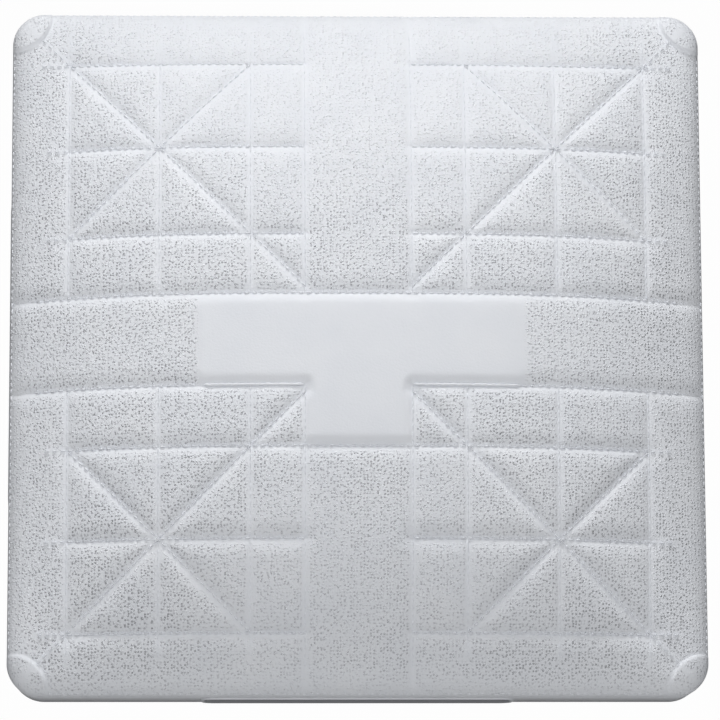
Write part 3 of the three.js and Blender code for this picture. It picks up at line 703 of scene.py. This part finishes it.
def stitch_rows():
    """Centre, direction and strength of every moulded stitch on the top, in plan."""
    rows = []
    for lines, strength in ((QUILT_LINES, 1.0), (OUTER_LINES, OUTER_STITCH)):
        for x0, y0, x1, y1 in lines:
            length = math.hypot(x1 - x0, y1 - y0)
            number = max(1, round(length / STITCH_PITCH))
            for k in range(number):
                t = (k + 0.5) / number
                x, y = x0 + t * (x1 - x0), y0 + t * (y1 - y0)
                corded = y0 == y1 == -BAND_Y and LABEL_LEFT < x < LABEL_RIGHT
                size = strength * (UPRIGHT_STITCH if x0 == x1 else 1)
                if not corded:
                    rows.append((x, y, (x1 - x0) / length, (y1 - y0) / length, size))
    return np.array(rows)


def top_stitches():
    """Centre, direction, normal, size and half length of the stitches on the top."""
    x, y, line_x, line_y, strength = stitch_rows().T
    number = len(x)
    turn = np.radians(random.normal(0, STITCH_TURN, number))
    dx = line_x * np.cos(turn) - line_y * np.sin(turn)
    dy = line_x * np.sin(turn) + line_y * np.cos(turn)
    size = strength * random.uniform(*STITCH_SIZES, number)
    half_length = STITCH_LENGTH / 2 * random.uniform(*STITCH_LENGTHS, number)
    step = 1.2
    ahead = top_height(x + step * dx, y + step * dy)
    behind = top_height(x - step * dx, y - step * dy)
    forward = np.stack([dx, dy, (ahead - behind) / (2 * step)], axis=1)
    forward /= np.linalg.norm(forward, axis=1, keepdims=True)
    upward = np.cross(forward, np.stack([-dy, dx, np.zeros(number)], axis=1))
    centre = np.stack([x, y, top_height(x, y) + STITCH_LIFT * size], axis=1)
    return centre, forward, upward, size, half_length


def seam_stitches():
    """The same for the small stitches round the shoulder."""
    along = np.arange(-SEAM_REACH, SEAM_REACH, SEAM_PITCH)
    start = top_height(along, np.full_like(along, -TOP_HALF))
    half, z = shoulder(start, along, SEAM_SHARE)
    half_after, z_after = shoulder(start, along, SEAM_SHARE + SEAM_STEP)
    out = np.stack([np.zeros_like(along), z_after - z, np.full_like(along, half_after - half)], axis=1)
    out /= np.linalg.norm(out, axis=1, keepdims=True)
    centre = np.stack([along, np.full_like(along, -half), z], axis=1)
    forward = np.tile([1.0, 0.0, 0.0], (len(along), 1))
    spins = quarter_turns()
    spun = [np.concatenate([rows @ spin.T for spin in spins]) for rows in (centre, forward, out)]
    number = len(spins) * len(along)
    return *spun, np.full(number, SEAM_STITCH), np.full(number, SEAM_HALF_LENGTH)


def stitch_template():
    """Points and faces of one stitch of unit size along x, pointed at both ends."""
    sides = 6
    stations = [(-0.86, 0.62), (-0.5, 0.95), (0.5, 0.95), (0.86, 0.62)]
    points = [(-1.0, 0.0, 0.0)]
    for at, radius in stations:
        for k in range(sides):
            angle = 2 * math.pi * k / sides
            points.append((at, radius * math.cos(angle), radius * math.sin(angle)))
    points.append((1.0, 0.0, 0.0))
    faces = []
    for k in range(sides):
        following = (k + 1) % sides
        faces.append((0, 1 + following, 1 + k))
        for ring in range(len(stations) - 1):
            low = 1 + ring * sides
            high = low + sides
            faces.append((low + k, low + following, high + following, high + k))
        last = 1 + (len(stations) - 1) * sides
        faces.append((last + k, last + following, len(points) - 1))
    return np.array(points), faces


def stitching(material):
    """Raised stitches along every quilted line and round the shoulder."""
    both = [np.concatenate(pair) for pair in zip(top_stitches(), seam_stitches())]
    centre, forward, upward, size, half_length = both
    template, faces = stitch_template()
    long_axis = half_length[:, None] * forward
    wide_axis = STITCH_HALF_WIDTH * size[:, None] * np.cross(upward, forward)
    high_axis = STITCH_HALF_HEIGHT * size[:, None] * upward
    parts = []
    for middle, *axes in zip(centre, long_axis, wide_axis, high_axis):
        parts.append((middle + template @ np.array(axes), faces))
    points, faces = join(parts)
    make_piece("cover_stitching", points, faces, material, sharp=80.0)


def label_cords(material):
    """The raised cord along the front seam of the label's bar, on both sides of its stem."""
    parts = []
    spans = ((LABEL_LEFT + CORD_INSET, -BAND_X - CORD_GAP), (BAND_X + CORD_GAP, LABEL_RIGHT - CORD_INSET))
    for begin, end in spans:
        x = np.linspace(begin, end, CORD_STEPS)
        y = np.full_like(x, -BAND_Y)
        wave = CORD_WAVE * np.sin(x * CORD_WAVE_RATE) + random.normal(0, CORD_JITTER, len(x))
        path = np.stack([x, y + wave, top_height(x, y) + CORD_LIFT], axis=1)
        taper = np.minimum(1, np.minimum(x - begin, end - x) / CORD_TAPER)[:, None]
        width = CORD_TIP + (1 - CORD_TIP) * taper
        upward = width * [[0.0, 0.0, 1.0]]
        across = width * [[0.0, 1.0, 0.0]]
        points, faces = tube(path, upward, across, CORD_RADIUS, CORD_RADIUS, CORD_SIDES, False)
        first = [side * CORD_STEPS for side in range(CORD_SIDES)]
        last = [k + CORD_STEPS - 1 for k in reversed(first)]
        parts.append((points, faces + [tuple(first), tuple(last)]))
    points, faces = join(parts)
    make_piece("cover_label_cords", points, faces, material)


# Foam and steel
def foam_piece(material):
    """The crowned foam over the pan, with a relief for the plate and its bolts."""
    steps = np.linspace(-TOP_HALF, TOP_HALF, FOAM_STEPS, endpoint=False)
    side = np.repeat(np.arange(4), len(steps))
    along = np.concatenate([steps, steps, -steps, -steps])
    pull = FOAM_PULL * (1 - (along / TOP_HALF) ** 2)
    rings = []
    for half in FOAM_RINGS:
        x, y = ring_point(side, along, half - pull * (half / FOAM_HALF) ** 4, FOAM_CORNER, False)
        rings.append((np.stack([x, y], axis=1), crown(x, y) - COVER_TOP - FOAM_GAP))
    underside = [
        (FOAM_MIDDLE, FOAM_BOTTOM),
        (RELIEF_HALF + RELIEF_ROUND, FOAM_BOTTOM),
        (RELIEF_HALF, FOAM_BOTTOM + RELIEF_ROUND),
        (RELIEF_HALF, RELIEF_TOP - RELIEF_ROUND),
        (RELIEF_HALF - RELIEF_ROUND, RELIEF_TOP),
        (RELIEF_MIDDLE, RELIEF_TOP),
        (FOAM_CENTRE, RELIEF_TOP),
    ]
    edges = [(half - pull, z) for half, z in FOAM_SIDE] + underside
    for half, z in edges:
        rings.append((np.stack(ring_point(side, along, half, FOAM_CORNER, False), axis=1), z))
    points, faces = skin_of(rings, False)
    piece = make_piece("foam_cushion", points, faces, material, sharp=50.0)
    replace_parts(piece, "foam_pad")


TURNS = np.linspace(0, 2 * math.pi, ROUND_STEPS, endpoint=False)


def loop_of(radii):
    return np.stack([radii * np.cos(TURNS), radii * np.sin(TURNS)], axis=1)


def circle(radius):
    return loop_of(np.full(len(TURNS), float(radius)))


def polygon(sides, flats, limit=math.inf):
    """A loop with flat sides, its corners cut back to a radius."""
    part = 2 * math.pi / sides
    lead = 0.0 if sides == 6 else part / 2
    away = (TURNS + lead) % part - part / 2
    return loop_of(np.minimum(flats / 2 / np.cos(away), limit))


def rounded_square(half, radius):
    return rounded_loop(half, half, radius, len(TURNS) // 4)[0]


def chamfered(sides, flats, full, top, bottom, both):
    """Rings of a nut or a head from top to bottom, its corners turned down at one or both ends."""
    low = CHAMFER_SHARE * flats
    depth = (full - low) / math.sqrt(3)
    steps = np.linspace(0, 1, CHAMFER_STEPS)
    loops = [polygon(sides, flats, low + (full - low) * s) for s in steps]
    rings = [(loop, top - depth * s) for loop, s in zip(loops, steps)]
    if both:
        rings += [(loop, bottom + depth * s) for loop, s in zip(loops[::-1], steps[::-1])]
    else:
        rings.append((polygon(sides, flats, full), bottom))
    return rings


def hexagon(flats, top, bottom, both):
    return chamfered(6, flats, flats / math.sqrt(3), top, bottom, both)


def bore(radius, top, bottom):
    """Rings of a hole from bottom to top, with a small countersink at both ends."""
    wide = circle(radius + COUNTERSINK)
    narrow = circle(radius)
    return [(wide, bottom), (narrow, bottom + COUNTERSINK), (narrow, top - COUNTERSINK), (wide, top)]


def thread(radius, top, bottom, pitch):
    heights = np.arange(top, bottom, -pitch / 2)
    return [(circle(radius - THREAD_DEPTH * pitch * (k % 2)), z) for k, z in enumerate(heights)]


def skin_of(rings, hollow):
    """Points and faces over rings from top to bottom; a hollow piece closes on its first ring."""
    points = np.concatenate([np.column_stack([loop, np.broadcast_to(z, len(loop))]) for loop, z in rings])
    index = np.arange(len(points)).reshape(len(rings), -1)
    pairs = list(zip(index[:-1], index[1:]))
    faces = []
    if hollow:
        pairs.append((index[-1], index[0]))
    else:
        faces = [tuple(index[0]), tuple(index[-1][::-1])]
    for upper, lower in pairs:
        faces += bridge(upper, lower).tolist()
    return points, faces


def node_box(node):
    return [np.array(corner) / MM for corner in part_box(node)]


def upright(node, rings, hollow, body="base"):
    """Puts a piece made round the vertical axis in the place of its CAD node."""
    low, high = node_box(node)
    points, faces = skin_of(rings, hollow)
    points[:, :2] += (low[:2] + high[:2]) / 2
    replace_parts(make_piece(node + "_shape", points, faces, zinc, body, sharp=25.0), node)


def lying(points, number):
    """Turns a piece made round the vertical axis to lock 1, along +X, or lock 2, along -Y."""
    x, y, z = points.T
    if number == 1:
        return np.stack([z, y, LOCK_HEIGHT - x], axis=1)
    return np.stack([y, -z, LOCK_HEIGHT - x], axis=1)


def lock_piece(node, number, rings, hollow, body):
    points, faces = skin_of(rings, hollow)
    points = lying(points, number)
    piece = make_piece(node + "_shape", points, faces, zinc, body, sharp=25.0)
    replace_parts(piece, node)


def lock_span(node, number):
    """Outer and inner end of a lock's piece along its own axis."""
    low, high = node_box(node)
    return (high[0], low[0]) if number == 1 else (-low[1], -high[1])


def nut(node, flats, hole):
    low, high = node_box(node)
    rings = hexagon(flats, high[2], low[2], True) + bore(hole / 2, high[2], low[2])
    upright(node, rings, True)


def plate_fasteners():
    for k in range(1, 5):
        low, high = node_box(f"plate_bolt_{k}")
        under = high[2] - BOLT_HEAD
        rings = hexagon(BOLT_FLATS, high[2], under, False)
        rings += [(circle(BOLT_RADIUS), under), (circle(BOLT_RADIUS), PAN_CEILING)]
        rings += thread(BOLT_RADIUS, PAN_CEILING - THREAD_START, low[2] + BOLT_TIP, BOLT_PITCH)
        rings.append((circle(BOLT_RADIUS - BOLT_TIP), low[2]))
        upright(f"plate_bolt_{k}", rings, False)

        low, high = node_box(f"plate_washer_{k}")
        wide = circle((high[0] - low[0]) / 2)
        narrow = circle((high[0] - low[0]) / 2 - WASHER_EDGE)
        rings = [(narrow, high[2]), (wide, high[2] - WASHER_EDGE), (wide, low[2] + WASHER_EDGE)]
        rings.append((narrow, low[2]))
        upright(f"plate_washer_{k}", rings + bore(WASHER_HOLE / 2, high[2], low[2]), True)
        nut(f"plate_nut_{k}", BOLT_FLATS, NUT_HOLE)


def strip_fasteners():
    key_mouth = polygon(6, STRIP_KEY_FLATS + STRIP_KEY_FLARE)
    key = polygon(6, STRIP_KEY_FLATS)
    for k in range(1, 13):
        low, high = node_box(f"strip_screw_{k}")
        foot = low[2]
        head = foot + STRIP_HEAD
        rings = [(circle(STRIP_RADIUS - STRIP_TIP), high[2])]
        rings += thread(STRIP_RADIUS, high[2] - STRIP_TIP, head + THREAD_START, STRIP_PITCH)
        rings += [(circle(STRIP_RADIUS), head), (circle(STRIP_HEAD_RADIUS), head)]
        for turn in np.radians(np.linspace(0, 90, 8)):
            reach = STRIP_HEAD_FLAT + (STRIP_HEAD_RADIUS - STRIP_HEAD_FLAT) * math.cos(turn)
            rings.append((circle(reach), foot + (STRIP_HEAD - STRIP_HEAD_EDGE) * (1 - math.sin(turn))))
        rings += [(key_mouth, foot), (key, foot + STRIP_KEY_EDGE), (key, foot + STRIP_KEY_DEPTH)]
        upright(f"strip_screw_{k}", rings, False)
        nut(f"strip_nut_{k}", STRIP_NUT_FLATS, STRIP_NUT_HOLE)


def weld(name, loop, z, number=None):
    """A rippled bead of weld round a loop, in place or turned to a lock."""
    outward = loop / np.linalg.norm(loop, axis=1, keepdims=True)
    ripple = (1 + WELD_RIPPLE * np.sin(WELD_WAVES * TURNS))[:, None]
    path = np.column_stack([loop, np.full(len(loop), z)])
    binormals = np.column_stack([outward, np.zeros(len(loop))]) * ripple
    normals = np.tile([0.0, 0.0, -1.0], (len(loop), 1)) * ripple
    points, faces = tube(path, normals, binormals, WELD_RADIUS, WELD_RADIUS, WELD_SIDES, True)
    if number:
        points = lying(points, number)
    make_piece(name, points, faces, zinc, sharp=60.0)


def lock_fittings():
    for k in (1, 2):
        outer, inner = lock_span(f"lock_boss_{k}", k)
        rings = hexagon(BOSS_FLATS, outer, inner, False) + bore(LOCK_HOLE / 2, outer, inner)
        lock_piece(f"lock_boss_{k}", k, rings, True, "base")
        weld(f"boss_weld_{k}", polygon(6, BOSS_WELD_FLATS, BOSS_WELD_REACH), inner + WELD_SINK, k)

        outer, inner = lock_span(f"jam_nut_{k}", k)
        rings = hexagon(JAM_FLATS, outer, inner, True) + bore(LOCK_HOLE / 2, outer, inner)
        lock_piece(f"jam_nut_{k}", k, rings, True, f"jam_{k}")

        outer, inner = lock_span(f"lock_screw_{k}", k)
        under = outer - LOCK_HEAD
        rings = chamfered(4, LOCK_HEAD_FLATS, LOCK_HEAD_RADIUS, outer, under, True)
        rings += thread(LOCK_RADIUS, under, inner + LOCK_TIP, LOCK_PITCH)
        rings.append((circle(LOCK_RADIUS - LOCK_TIP), inner))
        lock_piece(f"lock_screw_{k}", k, rings, False, f"lock_{k}")


def stanchion_tube():
    low, high = node_box("stanchion_leg")
    outside = rounded_square(LEG_HALF, LEG_CORNER)
    outside_end = rounded_square(LEG_HALF - LEG_EDGE, LEG_CORNER - LEG_EDGE)
    inside = rounded_square(LEG_BORE_HALF, LEG_BORE_CORNER)
    inside_end = rounded_square(LEG_BORE_HALF + LEG_BORE_EDGE, LEG_BORE_CORNER + LEG_BORE_EDGE)
    rings = [
        (outside_end, high[2]), (outside, high[2] - LEG_EDGE),
        (outside, low[2] + LEG_EDGE), (outside_end, low[2]),
        (inside_end, low[2]), (inside, low[2] + LEG_BORE_EDGE),
        (inside, high[2] - LEG_BORE_EDGE), (inside_end, high[2]),
    ]
    upright("stanchion_leg", rings, True, "stanchion")


# Materials
def new_material(name):
    material = bpy.data.materials.new(name)
    material.use_nodes = True
    tree = material.node_tree
    return material, tree, tree.nodes["Principled BSDF"]


def add_node(tree, kind, **settings):
    node = tree.nodes.new(kind)
    for key, value in settings.items():
        if hasattr(node, key):
            setattr(node, key, value)
        else:
            node.inputs[key].default_value = value
    return node


def object_place(tree):
    return add_node(tree, "ShaderNodeTexCoord").outputs["Object"]


def add_texture(tree, kind, place, **settings):
    node = add_node(tree, kind, **settings)
    tree.links.new(place, node.inputs["Vector"])
    return node


def part_of(tree, kind, source, name):
    """One part of a colour or a vector."""
    node = add_node(tree, kind)
    tree.links.new(source, node.inputs[0])
    return node.outputs[name]


def ramp(tree, source, stops):
    node = tree.nodes.new("ShaderNodeValToRGB")
    for element, (place, colour) in zip(node.color_ramp.elements, stops):
        element.position = place
        element.color = (*colour, 1.0)
    tree.links.new(source, node.inputs["Fac"])
    return node.outputs["Color"]


def spread(tree, source, old, new, kind="LINEAR"):
    """Maps one range of values to another one and holds the ends."""
    node = add_node(tree, "ShaderNodeMapRange", interpolation_type=kind)
    for name, value in zip(("From Min", "From Max", "To Min", "To Max"), (*old, *new)):
        node.inputs[name].default_value = value
    tree.links.new(source, node.inputs["Value"])
    return node.outputs["Result"]


def combine(tree, operation, a, b):
    """Sum, product or the like of two numbers or node outputs."""
    node = add_node(tree, "ShaderNodeMath", operation=operation)
    for k, value in enumerate((a, b)):
        if isinstance(value, (int, float)):
            node.inputs[k].default_value = value
        else:
            tree.links.new(value, node.inputs[k])
    return node.outputs["Value"]


def add_bump(tree, shader, height, strength, distance):
    bump = add_node(tree, "ShaderNodeBump", Strength=strength, Distance=distance)
    tree.links.new(height, bump.inputs["Height"])
    tree.links.new(bump.outputs["Normal"], shader.inputs["Normal"])


def rubber_colour_with_painted_shade(tree, place, mottle):
    """Faintly mottled white, with painted shade that darkens it towards the foot of the walls, but not
    underneath.
    """
    white = ramp(tree, mottle, [(0.3, (0.762, 0.782, 0.823)), (0.7, (0.792, 0.809, 0.844))])
    height = part_of(tree, "ShaderNodeSeparateXYZ", place, "Z")
    # Painted shade: the white falls to 0.12 of itself at the foot of the walls, standing in for the shade
    # near the ground
    foot = spread(tree, height, (0.0, 0.032), (0.12, 1.0))
    normal = add_node(tree, "ShaderNodeNewGeometry").outputs["Normal"]
    facing = part_of(tree, "ShaderNodeSeparateXYZ", normal, "Z")
    # Faces turned downwards keep their white, clear of the painted shade
    under = spread(tree, facing, (-0.9, -0.4), (0.9, 0.0))
    shaded = add_node(tree, "ShaderNodeVectorMath", operation="SCALE")
    tree.links.new(white, shaded.inputs["Vector"])
    tree.links.new(combine(tree, "MAXIMUM", foot, under), shaded.inputs["Scale"])
    return shaded.outputs["Vector"]


def pebbles(tree, place, dimensions, attribute):
    """Height of the pebbled grain, each pebble with its own share of it."""
    cells = add_texture(tree, "ShaderNodeTexVoronoi", place, voronoi_dimensions=dimensions,
                        Scale=PEBBLE_SCALE, Randomness=0.75)
    dome = spread(tree, cells.outputs["Distance"], (0.03, 0.36), (1.0, 0.0), "SMOOTHSTEP")
    tone = part_of(tree, "ShaderNodeSeparateColor", cells.outputs["Color"], "Red")
    pick = spread(tree, tone, (0.1, 0.9), (0.3, 1.0))
    share = add_node(tree, "ShaderNodeAttribute", attribute_name=attribute).outputs["Fac"]
    return combine(tree, "MULTIPLY", combine(tree, "MULTIPLY", dome, pick), share)


def rubber(name, grained):
    """Matt white moulded rubber, with pebbled grain where the mesh says so."""
    material, tree, shader = new_material(name)
    link = tree.links.new
    place = object_place(tree)
    mottle = add_texture(tree, "ShaderNodeTexNoise", place, Scale=38.0, Detail=4.0).outputs["Fac"]
    link(rubber_colour_with_painted_shade(tree, place, mottle), shader.inputs["Base Color"])
    link(spread(tree, mottle, (0.3, 0.7), (0.62, 0.74)), shader.inputs["Roughness"])
    shader.inputs["Specular IOR Level"].default_value = 0.08

    fine = add_texture(tree, "ShaderNodeTexNoise", place, Scale=900.0, Detail=3.0)
    height = combine(tree, "MULTIPLY", fine.outputs["Fac"], 0.12)
    if grained:
        patch = add_texture(tree, "ShaderNodeTexNoise", place, Scale=22.0, Detail=2.0)
        strength = spread(tree, patch.outputs["Fac"], (0.35, 0.65), (0.85, 1.15))
        for dimensions, attribute in (("2D", "grain"), ("3D", "side_grain")):
            grain = combine(tree, "MULTIPLY", pebbles(tree, place, dimensions, attribute), strength)
            height = combine(tree, "ADD", height, grain)
    add_bump(tree, shader, height, 1.0, PEBBLE_HEIGHT)
    return material


def foam_material():
    material, tree, shader = new_material("foam")
    cells = add_texture(tree, "ShaderNodeTexVoronoi", object_place(tree), Scale=420.0).outputs["Distance"]
    colour = ramp(tree, cells, [(0.1, (0.045, 0.045, 0.05)), (0.6, (0.12, 0.12, 0.13))])
    tree.links.new(colour, shader.inputs["Base Color"])
    shader.inputs["Roughness"].default_value = 0.95
    add_bump(tree, shader, cells, 0.8, 0.0006)
    return material


def metal(name, low, high, scale, rough_low, rough_high, spangled):
    """Zinc on steel: spangled where it is hot dipped, finely mottled where it is plated."""
    material, tree, shader = new_material(name)
    place = object_place(tree)
    if spangled:
        cells = add_texture(tree, "ShaderNodeTexVoronoi", place, Scale=scale)
        tone = part_of(tree, "ShaderNodeSeparateColor", cells.outputs["Color"], "Red")
    else:
        tone = add_texture(tree, "ShaderNodeTexNoise", place, Scale=scale, Detail=5.0).outputs["Fac"]
    tree.links.new(ramp(tree, tone, [(0.2, low), (0.8, high)]), shader.inputs["Base Color"])
    rough = spread(tree, tone, (0.0, 1.0), (rough_low, rough_high))
    tree.links.new(rough, shader.inputs["Roughness"])
    shader.inputs["Metallic"].default_value = 0.9
    fine = add_texture(tree, "ShaderNodeTexNoise", place, Scale=700.0, Detail=4.0)
    add_bump(tree, shader, fine.outputs["Fac"], 0.3, 0.0002)
    return material


cover_rubber = rubber("cover_rubber_grained", True)
smooth_rubber = rubber("cover_rubber_smooth", False)
foam = foam_material()
galvanised = metal("galvanised_sheet", (0.40, 0.42, 0.43), (0.60, 0.62, 0.63), 130.0, 0.35, 0.55, True)
zinc = metal("zinc_steel", (0.38, 0.39, 0.39), (0.52, 0.53, 0.53), 60.0, 0.28, 0.42, False)

cover_shell(cover_rubber)
side_beads(smooth_rubber)
stitching(smooth_rubber)
label_cords(smooth_rubber)
foam_piece(foam)
plate_fasteners()
strip_fasteners()
lock_fittings()
socket_loop = rounded_square(SOCKET_HALF + SOCKET_WELD_OUT, SOCKET_WELD_CORNER)
weld("socket_weld", socket_loop, PAN_CEILING - WELD_SINK)
stanchion_tube()

# The rest keeps its CAD shape
slots = {entry["node"]: entry["material_slot"] for entry in frame["record"]["subparts"]}
finishes = {"galvanised_sheet": galvanised, "zinc_steel": zinc, "foam": foam}
for name, obj in nodes.items():
    if slots[name] in finishes:
        obj.data.materials.clear()
        obj.data.materials.append(finishes[slots[name]])


# Stage: a pale floor under the stanchion, white to the camera
def seen_rays(tree):
    """1 for the rays that see plain white."""
    path = tree.nodes.new("ShaderNodeLightPath")
    seen = combine(tree, "ADD", path.outputs["Is Camera Ray"], path.outputs["Is Glossy Ray"])
    return combine(tree, "ADD", seen, path.outputs["Is Transmission Ray"])


def mix_shaders(tree, share, first, second):
    mix = tree.nodes.new("ShaderNodeMixShader")
    tree.links.new(share, mix.inputs["Fac"])
    tree.links.new(first, mix.inputs[1])
    tree.links.new(second, mix.inputs[2])
    return mix.outputs["Shader"]


def floor():
    """White with a faint shadow from above, and clear from below."""
    mesh = bpy.data.meshes.new("floor")
    corners = [(sx * FLOOR_HALF, sy * FLOOR_HALF, FLOOR_HEIGHT) for sx, sy in QUARTERS]
    mesh.from_pydata(corners, [], [(0, 2, 3, 1)])
    obj = add_object("floor", mesh)
    material = bpy.data.materials.new("floor")
    material.use_nodes = True
    tree = material.node_tree
    tree.nodes.clear()
    out = tree.nodes.new("ShaderNodeOutputMaterial")
    matt = add_node(tree, "ShaderNodeBsdfDiffuse", Color=(0.08, 0.08, 0.08, 1.0))
    white = add_node(tree, "ShaderNodeEmission", Color=(1.0, 1.0, 1.0, 1.0), Strength=1.0)
    below = tree.nodes.new("ShaderNodeBsdfTransparent")
    facing = tree.nodes.new("ShaderNodeNewGeometry")
    share = combine(tree, "MULTIPLY", seen_rays(tree), FLOOR_WHITE)
    above = mix_shaders(tree, share, matt.outputs["BSDF"], white.outputs["Emission"])
    both = mix_shaders(tree, facing.outputs["Backfacing"], above, below.outputs["BSDF"])
    tree.links.new(both, out.inputs["Surface"])
    mesh.materials.append(material)


def surroundings():
    """White to the camera, and a soft sky for everything else."""
    world = bpy.data.worlds.new("studio")
    bpy.context.scene.world = world
    world.use_nodes = True
    tree = world.node_tree
    tree.nodes.clear()
    out = tree.nodes.new("ShaderNodeOutputWorld")
    sky = add_node(tree, "ShaderNodeBackground", Color=(0.97, 0.985, 1.0, 1.0), Strength=SKY_LEVEL)
    white = add_node(tree, "ShaderNodeBackground", Color=(1.0, 1.0, 1.0, 1.0), Strength=1.0)
    both = mix_shaders(tree, seen_rays(tree), sky.outputs["Background"], white.outputs["Background"])
    tree.links.new(both, out.inputs["Surface"])


def area_light(name, place, power, size, height=None, target=BASE_MIDDLE, glossy=True):
    """A round light, or a long one when a height is given."""
    light = bpy.data.lights.new(name, "AREA")
    light.shape = "RECTANGLE" if height else "DISK"
    light.size = size
    if height:
        light.size_y = height
    light.energy = power
    obj = add_object(name, light)
    obj.location = place
    obj.rotation_euler = (Vector(target) - Vector(place)).to_track_quat("-Z", "Y").to_euler()
    obj.visible_camera = False
    obj.visible_glossy = glossy


def camera():
    """Looks down at the photograph's angle."""
    tilt = math.radians(11.294)
    swing = math.radians(-1.505)
    roll = math.radians(-0.204)
    distance = 2.6715
    pivot = Vector((0.0, 0.0, 0.0364))
    aim = Vector((0.0016, -0.0045, 0.0364))
    away = Vector((math.sin(swing), -math.sin(tilt) * math.cos(swing), math.cos(tilt) * math.cos(swing)))
    eye = pivot + distance * away
    back = (eye - aim).normalized()
    right = Vector((0.0, 1.0, 0.0)).cross(back).normalized()
    up = back.cross(right)
    turned_right = right * math.cos(roll) + up * math.sin(roll)
    turned_up = up * math.cos(roll) - right * math.sin(roll)
    data = bpy.data.cameras.new("camera")
    data.sensor_width = 36.0
    data.lens = 243.7
    data.clip_end = 50.0
    obj = add_object("camera", data)
    pose = Matrix((turned_right, turned_up, back)).transposed().to_4x4()
    pose.translation = eye
    obj.matrix_world = pose
    bpy.context.scene.camera = obj


floor()
surroundings()
area_light("key", (-0.03, 0.22, 0.48), power=0.83, size=0.8, height=0.15, target=(0.0, 0.1, 0.06))
area_light("back", (-0.1, 2.87, 0.95), power=58.0, size=0.7)
area_light("front", (0.05, -1.45, 2.49), power=32.2, size=1.0)
area_light("left", (-2.2, 0.0, 1.3), power=6.7, size=1.0)
area_light("right", (2.2, 0.0, 1.3), power=4.4, size=1.0)
area_light("front_card", (0.0, -0.62, -0.1), power=0.4, size=1.0, height=0.06, target=(0.0, -0.19, 0.02))
area_light("under", (0.0, 0.0, -0.13), power=0.5, size=0.34, height=0.34, target=(0.0, 0.0, 0.0),
           glossy=False)
camera()
bpy.context.scene.view_settings.view_transform = "Standard"
